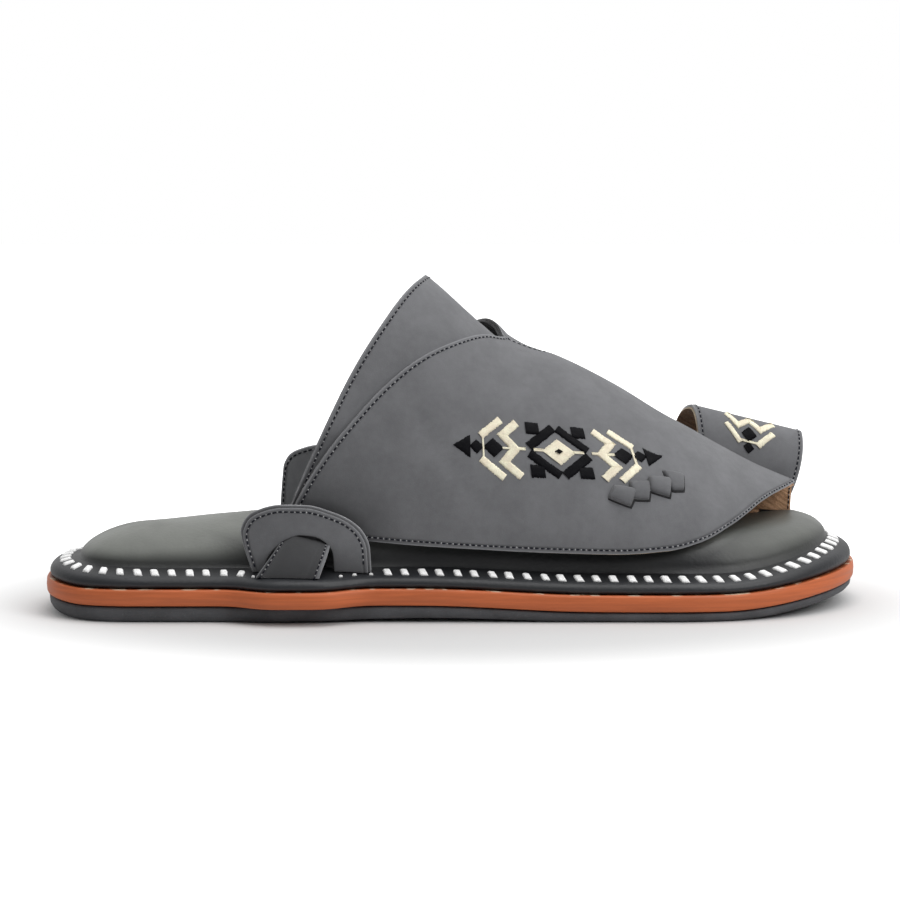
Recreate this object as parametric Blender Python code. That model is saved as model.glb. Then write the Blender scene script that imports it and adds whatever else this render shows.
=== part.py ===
"""Arabic sandal for the right foot: layered sole, padded footbed, open upper, toe ring and strap ears.

Sizes are in millimetres and become metres where a mesh is made. X runs from heel to toe, Y from the
outer (lateral) side of the foot to the inner (medial) side and Z up. The origin is on the floor, under
the middle of the sandal.
"""

import math
from collections import namedtuple

import bmesh
import bpy
from mathutils import Vector
from mathutils.bvhtree import BVHTree

MM = 0.001
CLEARANCE = 0.3
SEAT_GAP = 0.5
SIDES = {"lateral": -1.0, "medial": 1.0}

# Sole: plan outline, heights and edge profiles
HALF_LENGTH = 144.4
HEEL_CAP, HEEL_ROUND = 36.0, 2.5
TOE_CAP, TOE_ROUND = 70.0, {"lateral": 2.15, "medial": 2.6}
OUTLINE_POINTS = 100
MIDSOLE_HEIGHT = 6.1
LOBE_REACH, LOBE_SPREAD = 8.0, 18.0
LOBE_X = {"lateral": -54.5, "medial": -46.0}
OUTSOLE_LOBE_SHARE = 0.3
ARCH_RISE, ARCH_X, ARCH_SPREAD = 3.5, -45.0, 32.0

SoleStation = namedtuple("SoleStation", "x axis lateral medial bottom outsole margin rise crown shoulder")
SOLE = [
    SoleStation(-144.4, -13.0, -50.5, 23.5, 1.8, 5.0, 5.4, 3.6, 7.6, 32.0),
    SoleStation(-127.0, -13.0, -50.5, 23.5, 0.0, 5.4, 4.6, 2.6, 10.4, 32.0),
    SoleStation(-100.0, -13.0, -50.5, 23.5, 0.0, 5.4, 3.9, 2.3, 13.4, 30.0),
    SoleStation(-82.0, -13.0, -50.5, 22.5, 0.0, 5.4, 3.9, 2.3, 15.2, 26.0),
    SoleStation(-50.0, -12.0, -50.5, 22.0, 0.5, 5.0, 3.9, 2.3, 17.0, 22.0),
    SoleStation(-8.0, -6.0, -50.5, 29.0, 1.3, 4.3, 3.9, 2.3, 14.5, 18.0),
    SoleStation(48.0, 3.0, -50.5, 55.0, 0.0, 3.4, 3.9, 2.3, 12.6, 16.0),
    SoleStation(72.0, 5.0, -50.5, 58.5, 0.0, 3.3, 3.9, 2.3, 12.6, 14.0),
    SoleStation(92.0, 7.0, -50.0, 58.5, 0.0, 3.3, 3.9, 2.3, 12.6, 12.0),
    SoleStation(144.4, 10.0, -48.0, 56.0, 5.6, 3.3, 6.4, 4.4, 8.2, 10.0),
]

# Edge profiles, each row a ring of the side wall: inset from the outline, share of the layer's height
EdgeRing = namedtuple("EdgeRing", "inset height")
OUTSOLE_EDGE = [EdgeRing(3.8, 0.0), EdgeRing(2.0, 0.14), EdgeRing(1.2, 0.42), EdgeRing(1.0, 1.0)]
MIDSOLE_EDGE = [
    EdgeRing(1.2, 0.0),
    EdgeRing(0.25, 0.2),
    EdgeRing(0.0, 0.5),
    EdgeRing(0.3, 0.8),
    EdgeRing(1.4, 1.0),
]
MARGIN_EDGE = [
    EdgeRing(2.2, 0.0),
    EdgeRing(1.3, 0.28),
    EdgeRing(1.6, 0.6),
    EdgeRing(2.8, 0.9),
    EdgeRing(5.0, 1.12),
]
PAD_INSET = 11.8
PAD_TOE_INSET = 9.8
PAD_RINGS = [0.0, 0.05, 0.13, 0.26, 0.45, 0.7]

# Upper: cross sections of the last, with the crest line and the two hems
WALL = 2.0
Section = namedtuple("Section", "x crest_y crest_z lateral_y lateral_z medial_y medial_z"
                                " lateral_round medial_round")
SECTIONS = [
    Section(-62.0, -6.0, 152.0, -38.5, 29.5, 10.5, 31.0, 2.0, 2.0),
    Section(-30.0, -3.0, 130.0, -39.0, 26.8, 12.5, 30.0, 1.95, 1.95),
    Section(-10.7, -1.0, 116.4, -39.5, 25.4, 17.5, 29.0, 1.9, 1.9),
    Section(10.0, 1.0, 99.0, -40.0, 24.2, 28.0, 27.5, 1.8, 1.9),
    Section(17.0, 2.0, 93.4, -40.0, 23.8, 32.0, 27.0, 1.8, 1.9),
    Section(38.5, 4.5, 85.2, -40.5, 23.0, 42.0, 26.5, 1.75, 1.8),
    Section(56.0, 6.5, 76.0, -40.5, 22.6, 40.0, 36.0, 1.7, 1.8),
    Section(73.6, 9.5, 65.2, -38.5, 23.6, 26.0, 46.0, 1.65, 1.9),
    Section(85.0, 11.0, 59.0, -33.5, 26.2, 18.5, 40.0, 1.6, 2.0),
    Section(96.0, 12.0, 52.8, -23.5, 31.0, 17.4, 29.0, 1.6, 2.2),
    Section(110.0, 13.0, 45.4, -6.0, 36.4, 17.4, 28.5, 1.6, 2.4),
    Section(121.5, 14.0, 40.2, 10.0, 39.4, 17.2, 28.5, 1.7, 2.4),
]
UPPER_FRONT = 121.5
SLIT_START = 93.0
CrossLine = namedtuple("CrossLine", "share throat wing")
CROSS_LINES = [
    CrossLine(0.0, -10.7, 19.4),
    CrossLine(0.2, -14.3, 11.4),
    CrossLine(0.4, -22.2, -4.6),
    CrossLine(0.7, -39.9, -32.5),
    CrossLine(0.9, -54.0, -53.0),
    CrossLine(1.0, -61.6, -59.6),
]
MEDIAL_SWEEP = 0.86
ARCH_STEPS = 24
BAND_ROWS = [0.0, 0.33, 0.67, 1.0]
WING_ROWS = [0.006, 0.035, 0.067, 0.11, 0.155, 0.2, 0.25, 0.3, 0.35, 0.4, 0.45, 0.5, 0.55, 0.6, 0.65,
             0.7, 0.75, 0.8, 0.85, 0.9, 0.95, 1.0]
TAIL_LAST_ROW = 0.067
OVERLAP_ROW = 0.2
ROW_STEP, X_STEP = 0.02, 1.0

# Tails: from the hem, out through the ear, down to the lobe of the sole
TAIL_STEPS = 6
TAIL_WALL = 1.3
TAIL_LOBE_INSET = 6.0
TAIL_FLARE = 7.0
TAIL_DROP = 0.55

# Ears: horseshoe loops standing on the margin
Ear = namedtuple("Ear", "side x width height rear_round front_round"
                        " opening_x opening_width opening_height")
EARS = [
    Ear("lateral", -52.2, 45.4, 22.9, 3.0, 2.1, -54.0, 26.4, 13.0),
    Ear("medial", -41.6, 44.6, 39.6, 3.3, 2.5, -44.0, 26.4, 22.0),
]
EAR_INSET = 6.4
EAR_THICKNESS = 2.6
EAR_LEAN = 1.2
EAR_OPENING_ROUND = 2.0
EAR_STEPS = 18
EAR_RINGS = 3

# Toe ring: an arch over the big toe, between the slit and the inner margin
RingEdge = namedtuple("RingEdge", "crest_x crest_y crest_z lateral_x lateral_y medial_x medial_y")
RING_REAR = RingEdge(88.0, 34.0, 66.0, 97.5, 22.0, 79.0, 47.5)
RING_FRONT = RingEdge(128.7, 33.0, 56.2, 121.0, 22.0, 112.0, 45.5)
RING_WALL = 2.0
RING_STEPS = 18
RING_ROWS = 7
RING_ROUND = 2.2
RING_SWEEP = 2.5

# Thong: a lace through slits in the outer wing, seen as a row of pillowed lozenges
Pillow = namedtuple("Pillow", "x z half_length half_height")
THONG = [
    Pillow(57.1, 41.2, 5.3, 4.2),
    Pillow(63.0, 43.0, 4.6, 3.7),
    Pillow(70.2, 44.1, 5.3, 4.2),
    Pillow(75.7, 45.4, 4.6, 3.7),
]
THONG_RISE, THONG_LEAST_RISE = 2.4, 0.5
THONG_END = 0.9
THONG_STEPS = 32
THONG_ROWS = 6
SEARCH_STEPS = 40

# Looks: colour and roughness of each material
SHARP_ANGLE = 40.0
Look = namedtuple("Look", "red green blue roughness")
RUBBER = Look(0.045, 0.047, 0.05, 0.6)
TAN = Look(0.42, 0.12, 0.045, 0.5)
CHARCOAL = Look(0.03, 0.034, 0.035, 0.45)
GREY = Look(0.1, 0.105, 0.115, 0.75)


def smooth_value(keys, values, key):
    """Monotone cubic through a short column of values, held at both ends."""
    if key <= keys[0]:
        return values[0]
    if key >= keys[-1]:
        return values[-1]
    spans = [b - a for a, b in zip(keys, keys[1:])]
    rises = [(b - a) / span for a, b, span in zip(values, values[1:], spans)]
    slopes = [rises[0]]
    for before, after in zip(rises, rises[1:]):
        turning = before * after <= 0.0
        slopes.append(0.0 if turning else 2.0 * before * after / (before + after))
    slopes.append(rises[-1])
    i = max(n for n, start in enumerate(keys) if start <= key)
    t = (key - keys[i]) / spans[i]
    start = (1.0 + 2.0 * t) * (1.0 - t) ** 2 * values[i] + t * (1.0 - t) ** 2 * spans[i] * slopes[i]
    end = t * t * (3.0 - 2.0 * t) * values[i + 1] + t * t * (t - 1.0) * spans[i] * slopes[i + 1]
    return start + end


def along(table, column, x):
    """One column of a table of stations, read at x."""
    return smooth_value([row.x for row in table], [getattr(row, column) for row in table], x)


def bell(distance, spread):
    """Smooth bump, 1 in the middle."""
    return math.exp(-0.5 * (distance / spread) ** 2)


def half_arch(share, roundness):
    """Spread and height of a rounded half arch, from its crest (0) to its foot (1)."""
    angle = share * math.pi / 2.0
    power = 2.0 / roundness
    return math.sin(angle) ** power, max(math.cos(angle), 0.0) ** power


def end_round(x, side):
    """Share of the width that is left in the rounded heel and toe ends."""
    heel = (HEEL_CAP - HALF_LENGTH - x) / HEEL_CAP
    toe = (x - HALF_LENGTH + TOE_CAP) / TOE_CAP
    if heel > 0.0:
        return max(1.0 - heel ** HEEL_ROUND, 0.0) ** (1.0 / HEEL_ROUND)
    if toe > 0.0:
        return max(1.0 - toe ** TOE_ROUND[side], 0.0) ** (1.0 / TOE_ROUND[side])
    return 1.0


def sole_edge(x, side, lobe_share):
    """Y of the sole's outline on one side, with its lobe beside the ear."""
    axis = along(SOLE, "axis", x)
    flat_bump = math.exp(-((x - LOBE_X[side]) / LOBE_SPREAD) ** 4)
    lobe = SIDES[side] * LOBE_REACH * lobe_share * flat_bump
    return axis + (along(SOLE, side, x) - axis) * end_round(x, side) + lobe


def outline_x(k):
    """X of one point of the outline, closer together at the heel and toe."""
    return HALF_LENGTH * math.cos(2.0 * math.pi * k / OUTLINE_POINTS)


def outline(lobe_share):
    """Plan outline of the sole, from the toe round by the medial side."""
    points = []
    for k in range(OUTLINE_POINTS):
        side = "medial" if 2 * k < OUTLINE_POINTS else "lateral"
        points.append(Vector((outline_x(k), sole_edge(outline_x(k), side, lobe_share))))
    return points


def inset_loop(points, insets):
    """Plan loop moved inwards along its normals, each point by its own distance."""
    moved = []
    for k, point in enumerate(points):
        run = points[(k + 1) % len(points)] - points[k - 1]
        moved.append(point + Vector((-run.y, run.x)).normalized() * insets[k])
    return moved


def outsole_low(x):
    return along(SOLE, "bottom", x)


def outsole_top(x):
    return outsole_low(x) + along(SOLE, "outsole", x)


def midsole_low(x):
    return outsole_top(x) + CLEARANCE


def midsole_top(x):
    return outsole_top(x) + MIDSOLE_HEIGHT


def footbed_low(x):
    return midsole_top(x) + CLEARANCE


def margin_top(x):
    return midsole_top(x) + along(SOLE, "margin", x)


def pad_foot(x):
    """Height of the line where the padded bed rises from the sloping margin."""
    return margin_top(x) + along(SOLE, "rise", x)


def pad_inset(x):
    toe_share = max(x - HALF_LENGTH + TOE_CAP, 0.0) / TOE_CAP
    return PAD_INSET + (PAD_TOE_INSET - PAD_INSET) * toe_share


def pad_height(x, y, dome):
    """Height of the padded bed over its foot line, raised under the inner arch of the foot."""
    axis = along(SOLE, "axis", x)
    inner_share = max((y - axis) / (along(SOLE, "medial", x) - axis), 0.0)
    arch = ARCH_RISE * bell(x - ARCH_X, ARCH_SPREAD) * inner_share
    return (along(SOLE, "crown", x) + arch) * dome


def crown_top(x):
    """Height of the padded bed on its middle line."""
    return pad_foot(x) + pad_height(x, along(SOLE, "axis", x), 1.0)


def spine_point(x, height_at):
    """Point of the sole's middle line, which stops short of the rounded ends."""
    held = min(max(x, HEEL_CAP - HALF_LENGTH), HALF_LENGTH - TOE_CAP)
    return Vector((held, along(SOLE, "axis", held), height_at(held)))


def edge_rings(lobe_share, profile, low_at, high_at):
    """Rings of a layer's side wall between two height functions."""
    rim = outline(lobe_share)
    rings = []
    for row in profile:
        ring = []
        for place in inset_loop(rim, [row.inset] * OUTLINE_POINTS):
            low, high = low_at(place.x), high_at(place.x)
            ring.append(Vector((place.x, place.y, low + (high - low) * row.height)))
        rings.append(ring)
    return rings


def lofted_layer(rings, low_at, high_at):
    """Vertices and faces of a closed layer: stacked rings, closed to the middle line below and above."""
    count = OUTLINE_POINTS
    vertices = [point for ring in rings for point in ring]
    faces = []
    for level in range(len(rings) - 1):
        for k in range(count):
            a, b = level * count + k, level * count + (k + 1) % count
            faces.append([a, b, b + count, a + count])
    for height_at, base in ((low_at, 0), (high_at, (len(rings) - 1) * count)):
        spine, ends = {}, []
        for k in range(count):
            point = spine_point(outline_x(k), height_at)
            place = round(point.x, 3)
            if place not in spine:
                spine[place] = len(vertices)
                vertices.append(point)
            ends.append(spine[place])
        for k in range(count):
            following = (k + 1) % count
            corners = [base + k, base + following, ends[following], ends[k]]
            if base == 0:
                corners.reverse()
            faces.append(list(dict.fromkeys(corners)))
    return vertices, faces


def outsole_shape():
    rings = edge_rings(OUTSOLE_LOBE_SHARE, OUTSOLE_EDGE, outsole_low, outsole_top)
    return lofted_layer(rings, outsole_low, outsole_top)


def midsole_shape():
    rings = edge_rings(1.0, MIDSOLE_EDGE, midsole_low, midsole_top)
    return lofted_layer(rings, midsole_low, midsole_top)


def footbed_shape():
    """Stitched margin, then the padded bed rising from it to the middle line."""
    rings = edge_rings(1.0, MARGIN_EDGE, footbed_low, margin_top)
    rim = outline(0.0)
    feet = inset_loop(rim, [pad_inset(point.x) for point in rim])
    for share in PAD_RINGS:
        ring = []
        for foot in feet:
            middle = spine_point(foot.x, crown_top).to_2d()
            place = foot.lerp(middle, share)
            reach = min(share * (middle - foot).length / along(SOLE, "shoulder", place.x), 1.0)
            rise = pad_height(place.x, place.y, math.sqrt(1.0 - (1.0 - reach) ** 2))
            ring.append(Vector((place.x, place.y, pad_foot(place.x) + rise)))
        rings.append(ring)
    return lofted_layer(rings, footbed_low, crown_top)


def thick_sheet(cells, outer, inner):
    """Vertices and faces of a wall: two grids of points and the rim between them."""
    keys = sorted(outer)
    index = {key: n for n, key in enumerate(keys)}
    faces = []
    rim = set()
    for i, j in cells:
        corners = [(i, j), (i + 1, j), (i + 1, j + 1), (i, j + 1)]
        faces.append([index[c] for c in corners])
        faces.append([index[c] + len(keys) for c in reversed(corners)])
        for a, b in zip(corners, corners[1:] + corners[:1]):
            if (b, a) in rim:
                rim.remove((b, a))
            else:
                rim.add((a, b))
    for a, b in sorted(rim):
        faces.append([index[b], index[a], index[a] + len(keys), index[b] + len(keys)])
    return [outer[k] for k in keys] + [inner[k] for k in keys], faces


def arch_point(x, u):
    """Point of the last's surface: u runs from the lateral hem (-1) over the crest to the medial hem (1)."""
    side = "lateral" if u < 0.0 else "medial"
    spread, rise = half_arch(min(abs(u), 1.0), along(SECTIONS, side + "_round", x))
    crest_y, crest_z = along(SECTIONS, "crest_y", x), along(SECTIONS, "crest_z", x)
    hem_y, hem_z = along(SECTIONS, side + "_y", x), along(SECTIONS, side + "_z", x)
    return Vector((x, crest_y + (hem_y - crest_y) * spread, hem_z + (crest_z - hem_z) * rise))


def cross_x(line, u):
    """X of a line that crosses the upper from hem to hem; it sweeps back less on the medial side."""
    shares = [row.share for row in CROSS_LINES]
    places = [getattr(row, line) for row in CROSS_LINES]
    x = smooth_value(shares, places, min(abs(u), 1.0))
    return x if u < 0.0 else places[0] + (x - places[0]) * MEDIAL_SWEEP


def upper_x(row, u):
    """X of a grid row: rows 0 to 1 lie on the instep band, rows 1 to 2 on the wings."""
    throat, wing = cross_x("throat", u), cross_x("wing", u)
    if row <= 1.0:
        return throat + (wing - throat) * row
    return wing + (UPPER_FRONT - wing) * (row - 1.0)


def tail_point(row, u, seat):
    """Point of a tail, past the hem: it leaves the hem, turns outwards and ends on the lobe."""
    side = "lateral" if u < 0.0 else "medial"
    hem = arch_point(upper_x(row, u), math.copysign(1.0, u))
    s = abs(u) - 1.0
    line_start = cross_x("throat", u)
    line_end = upper_x(1.0 + TAIL_LAST_ROW, u)
    rearness = (line_end - hem.x) / (line_end - line_start)
    end_x = hem.x - TAIL_FLARE * rearness + (1.0 - rearness)
    end_y = sole_edge(LOBE_X[side], side, 1.0) - SIDES[side] * TAIL_LOBE_INSET
    end_z = seat(end_x, end_y)
    turn_y = hem.y + (end_y - hem.y) * TAIL_DROP
    turn_z = hem.z + (end_z - hem.z) * TAIL_DROP
    x = hem.x + (end_x - hem.x) * s * s
    y = (1.0 - s) ** 2 * hem.y + 2.0 * s * (1.0 - s) * turn_y + s * s * end_y
    z = (1.0 - s) ** 2 * hem.z + 2.0 * s * (1.0 - s) * turn_z + s * s * end_z
    return Vector((x, y, z))


def upper_point(row, u, seat):
    if abs(u) > 1.0:
        return tail_point(row, u, seat)
    return arch_point(upper_x(row, u), u)


def upper_normal(row, u, seat):
    """Outward normal of the last's surface, from small steps along both directions."""
    reach = 1.0 if row > 1.0 + TAIL_LAST_ROW else 2.0
    low, high = max(row - ROW_STEP, 0.0), min(row + ROW_STEP, 2.0)
    if abs(u) > 1.0:
        high = min(high, 1.0 + TAIL_LAST_ROW)
    left, right = max(u - ROW_STEP, -reach), min(u + ROW_STEP, reach)
    along_row = upper_point(high, u, seat) - upper_point(low, u, seat)
    across = upper_point(row, right, seat) - upper_point(row, left, seat)
    return along_row.cross(across).normalized()


def wall_offsets(row, u):
    """Distances of the inner and outer face from the surface between band and wing."""
    tail_share = max(abs(u) - 1.0, 0.0)
    outer = 0.0 if row <= 1.0 else WALL
    inner = WALL * max(1.0 - max(row - 1.0, 0.0) / OVERLAP_ROW, 0.0)
    if tail_share > 0.0:
        outer += (TAIL_WALL - outer) * tail_share
        inner += (TAIL_WALL - inner) * tail_share
    return inner, outer


def upper_shape(seat):
    """Instep band, wings and tails as one wall, with a step where the wings lie over the band."""
    rows = BAND_ROWS + [1.0 + share for share in WING_ROWS]
    tail_rows = sum(1 for row in rows if row <= 1.0 + TAIL_LAST_ROW)
    outer, inner, cells = {}, {}, []
    for i, row in enumerate(rows):
        tail = TAIL_STEPS if i < tail_rows else 0
        for j in range(-tail, ARCH_STEPS + tail + 1):
            u = 2.0 * j / ARCH_STEPS - 1.0
            if j < 0:
                u = -1.0 + j / TAIL_STEPS
            if j > ARCH_STEPS:
                u = 1.0 + (j - ARCH_STEPS) / TAIL_STEPS
            point, normal = upper_point(row, u, seat), upper_normal(row, u, seat)
            inset, raised = wall_offsets(row, u)
            inner[i, j] = point - normal * inset
            outer[i, j] = point + normal * raised
            in_slit = u == 1.0 and point.x > SLIT_START
            for grid in (inner, outer):
                place = grid[i, j]
                if abs(u) == 2.0 or in_slit:
                    place.z = seat(place.x, place.y) + SEAT_GAP
            if i + 1 < len(rows):
                reach = TAIL_STEPS if i + 1 < tail_rows else 0
                if -reach <= j < ARCH_STEPS + reach:
                    cells.append((i, j))
    return thick_sheet(cells, outer, inner)


def ring_point(share, u, offset, seat):
    """Point of the toe ring: share runs from the rear edge to the front edge."""
    row = RingEdge(*(a + (b - a) * share for a, b in zip(RING_REAR, RING_FRONT)))
    foot_x, foot_y = (row.lateral_x, row.lateral_y) if u < 0.0 else (row.medial_x, row.medial_y)
    spread, rise = half_arch(abs(u), RING_ROUND)
    foot_y += math.copysign(offset, u)
    foot_z = seat(foot_x, foot_y) + SEAT_GAP
    sweep = spread * (1.0 - share) + (1.0 - rise) ** RING_SWEEP * share
    x = row.crest_x + (foot_x - row.crest_x) * sweep
    y = row.crest_y + (foot_y - row.crest_y) * spread
    return Vector((x, y, foot_z + (row.crest_z + offset - foot_z) * rise))


def toe_ring_shape(seat):
    outer, inner, cells = {}, {}, []
    for i in range(RING_ROWS + 1):
        for j in range(RING_STEPS + 1):
            u = 2.0 * j / RING_STEPS - 1.0
            inner[i, j] = ring_point(i / RING_ROWS, u, 0.0, seat)
            outer[i, j] = ring_point(i / RING_ROWS, u, RING_WALL, seat)
            if i < RING_ROWS and j < RING_STEPS:
                cells.append((i, j))
    return thick_sheet(cells, outer, inner)


def ear_shape(ear, seat):
    """Horseshoe loop: a flat band between an inner arch and a rounder outer arch."""
    sign = SIDES[ear.side]
    outer, inner, cells = {}, {}, []
    for i in range(EAR_STEPS + 1):
        turn = 2.0 * i / EAR_STEPS - 1.0
        for j in range(EAR_RINGS + 1):
            share = j / EAR_RINGS
            hole_spread, hole_rise = half_arch(abs(turn), EAR_OPENING_ROUND)
            roundness = ear.rear_round if turn < 0.0 else ear.front_round
            rim_spread, rim_rise = half_arch(abs(turn), roundness)
            hole_x = ear.opening_x + math.copysign(hole_spread, turn) * ear.opening_width / 2.0
            rim_x = ear.x + math.copysign(rim_spread, turn) * ear.width / 2.0
            x = hole_x + (rim_x - hole_x) * share
            base_y = sole_edge(x, ear.side, 0.0) - sign * EAR_INSET
            rise = ear.opening_height * hole_rise * (1.0 - share) + ear.height * rim_rise * share
            for grid, offset in ((outer, 0.5), (inner, -0.5)):
                y = base_y + sign * (offset * EAR_THICKNESS - EAR_LEAN * rise / ear.height)
                grid[i, j] = Vector((x, y, seat(x, y) + SEAT_GAP))
                if rise > 0.0:
                    grid[i, j].z = seat(x, base_y) + SEAT_GAP + rise
            if i < EAR_STEPS and j < EAR_RINGS:
                cells.append((i, j))
    return thick_sheet(cells, outer, inner)


def wing_share_at(x, z):
    """Where on a lateral half section the last's surface has the height z."""
    low, high = -1.0, 0.0
    for _ in range(SEARCH_STEPS):
        middle = (low + high) / 2.0
        if arch_point(x, middle).z < z:
            low = middle
        else:
            high = middle
    return low


def wing_normal(x, u):
    forward = arch_point(x + X_STEP, u) - arch_point(x - X_STEP, u)
    across = arch_point(x, min(u + ROW_STEP, 0.0)) - arch_point(x, u - ROW_STEP)
    return forward.cross(across).normalized()


def thong_shape():
    """Row of pillows on the outer face of the wing, joined where they meet."""
    first, last = THONG[0], THONG[-1]
    start = first.x - THONG_END * first.half_length
    end = last.x + THONG_END * last.half_length
    top, base, cells = {}, {}, []
    for i in range(THONG_STEPS + 1):
        x = start + (end - start) * i / THONG_STEPS
        share = [max(1.0 - abs(x - pillow.x) / pillow.half_length, 0.0) for pillow in THONG]
        half = max(part * pillow.half_height for part, pillow in zip(share, THONG))
        middle = smooth_value([pillow.x for pillow in THONG], [pillow.z for pillow in THONG], x)
        for j in range(THONG_ROWS + 1):
            b = 2.0 * j / THONG_ROWS - 1.0
            u = wing_share_at(x, middle + half * b)
            point, normal = arch_point(x, u), wing_normal(x, u)
            dome = math.sqrt(max(share) * (1.0 - b * b))
            rise = THONG_LEAST_RISE + (THONG_RISE - THONG_LEAST_RISE) * dome
            base[i, j] = point + normal * (WALL + CLEARANCE)
            top[i, j] = base[i, j] + normal * rise
            if i < THONG_STEPS and j < THONG_ROWS:
                cells.append((i, j))
    return thick_sheet(cells, top, base)


def plain_material(name, look):
    colour = (look.red, look.green, look.blue, 1.0)
    material = bpy.data.materials.new(name)
    material.use_nodes = True
    shader = material.node_tree.nodes["Principled BSDF"]
    shader.inputs["Base Color"].default_value = colour
    shader.inputs["Roughness"].default_value = look.roughness
    shader.inputs["Metallic"].default_value = 0.0
    material.diffuse_color = colour
    return material


def add_part(collection, name, shape, material):
    """One closed object, in metres, with its faces turned outwards."""
    vertices, faces = shape
    mesh = bpy.data.meshes.new(name)
    mesh.from_pydata([v * MM for v in vertices], [], faces)
    body = bmesh.new()
    body.from_mesh(mesh)
    bmesh.ops.recalc_face_normals(body, faces=body.faces)
    body.to_mesh(mesh)
    body.free()
    mesh.shade_smooth()
    mesh.set_sharp_from_angle(angle=math.radians(SHARP_ANGLE))
    mesh.materials.append(material)
    collection.objects.link(bpy.data.objects.new(name, mesh))


def main():
    for item in list(bpy.data.objects):
        bpy.data.objects.remove(item)
    collection = bpy.data.collections.new("arabic_sandal")
    bpy.context.scene.collection.children.link(collection)

    grey = plain_material("upper_nubuck", GREY)
    add_part(collection, "outsole", outsole_shape(), plain_material("outsole_rubber", RUBBER))
    add_part(collection, "midsole", midsole_shape(), plain_material("midsole_tan", TAN))
    bed = footbed_shape()
    add_part(collection, "footbed", bed, plain_material("footbed_leather", CHARCOAL))

    tree = BVHTree.FromPolygons(*bed)

    def seat(x, y):
        """Height of the footbed's top at a place in plan."""
        return tree.ray_cast(Vector((x, y, HALF_LENGTH)), Vector((0.0, 0.0, -1.0)))[0].z

    add_part(collection, "upper", upper_shape(seat), grey)
    add_part(collection, "toe_ring", toe_ring_shape(seat), grey)
    for ear in EARS:
        add_part(collection, "ear_" + ear.side, ear_shape(ear, seat), grey)
    add_part(collection, "thong", thong_shape(), grey)


main()
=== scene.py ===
"""Dresses the arabic sandal for the right foot: leather sheets, padded bed, seams, embroidery and a studio.

Sizes in the tables are in millimetres and become metres where a mesh is made. X runs from heel to toe,
Y from the outer (lateral) side of the foot to the inner (medial) side and Z up, as in the solids.
"""

import math
import random
from collections import namedtuple

import bmesh
import bpy
from mathutils import Matrix, Vector, kdtree, noise
from mathutils.bvhtree import BVHTree
from mathutils.geometry import intersect_point_line


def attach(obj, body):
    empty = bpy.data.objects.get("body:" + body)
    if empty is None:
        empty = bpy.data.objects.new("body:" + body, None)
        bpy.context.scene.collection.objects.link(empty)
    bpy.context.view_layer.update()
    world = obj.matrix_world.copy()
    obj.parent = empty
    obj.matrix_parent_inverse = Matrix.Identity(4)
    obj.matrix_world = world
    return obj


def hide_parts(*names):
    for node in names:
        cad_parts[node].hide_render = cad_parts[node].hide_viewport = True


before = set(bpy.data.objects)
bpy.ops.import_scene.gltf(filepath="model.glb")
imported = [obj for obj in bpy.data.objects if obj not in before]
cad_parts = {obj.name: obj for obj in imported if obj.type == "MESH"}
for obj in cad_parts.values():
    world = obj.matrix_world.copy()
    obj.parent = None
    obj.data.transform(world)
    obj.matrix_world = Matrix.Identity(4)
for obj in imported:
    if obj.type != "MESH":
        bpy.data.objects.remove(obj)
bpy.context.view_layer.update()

bl_info = {
    "name": "Arabic sandal",
    "version": (1, 0, 0),
    "blender": (4, 5, 0),
    "location": "3D View > Sidebar > Sandal",
    "description": "Leather, seams, embroidery and a studio for the arabic sandal",
    "category": "Object",
}


def table(kind, rows):
    """Rows of a table as named values."""
    return [kind(*row) for row in rows]


MM = 0.001
CLEARANCE = 0.3
SEAT_GAP = 0.5
SIDES = {"lateral": -1.0, "medial": 1.0}
SEED = 7
BEVEL_ANGLE, SOLE_SHARP_ANGLE = 50.0, 55.0
RAY_FROM_ABOVE, RAY_FROM_SIDE = 0.3, 0.2

# Sole: plan outline, heights and edge profiles
HALF_LENGTH = 144.4
HEEL_CAP, HEEL_ROUND = 36.0, 2.5
TOE_CAP, TOE_ROUND = 70.0, {"lateral": 2.15, "medial": 2.6}
OUTLINE_STEP = 0.01
OUTLINE_COLUMNS = 240
MIDSOLE_HEIGHT = 6.1
LOBE_REACH, LOBE_SPREAD = 8.0, 18.0
LOBE_X = {"lateral": -54.5, "medial": -46.0}
OUTSOLE_LOBE_SHARE = 0.3
ARCH_RISE, ARCH_X, ARCH_SPREAD = 3.5, -45.0, 32.0

SoleStation = namedtuple("SoleStation", "x axis lateral medial bottom outsole margin rise crown shoulder")
SOLE = table(SoleStation, [
    (-144.4, -13.0, -50.5, 23.5, 1.8, 5.0, 5.4, 3.6, 7.6, 32.0),
    (-127.0, -13.0, -50.5, 23.5, 0.0, 5.4, 4.6, 2.6, 10.4, 32.0),
    (-100.0, -13.0, -50.5, 23.5, 0.0, 5.4, 3.9, 2.3, 13.4, 30.0),
    (-82.0, -13.0, -50.5, 22.5, 0.0, 5.4, 3.9, 2.3, 15.2, 26.0),
    (-50.0, -12.0, -50.5, 22.0, 0.5, 5.0, 3.9, 2.3, 17.0, 22.0),
    (-8.0, -6.0, -50.5, 29.0, 1.3, 4.3, 3.9, 2.3, 14.5, 18.0),
    (48.0, 3.0, -50.5, 55.0, 0.0, 3.4, 3.9, 2.3, 12.6, 16.0),
    (72.0, 5.0, -50.5, 58.5, 0.0, 3.3, 3.9, 2.3, 12.6, 14.0),
    (92.0, 7.0, -50.0, 58.5, 0.0, 3.3, 3.9, 2.3, 12.8, 15.0),
    (144.4, 10.0, -48.0, 56.0, 5.6, 3.3, 6.4, 4.4, 8.0, 17.0),
])

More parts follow.
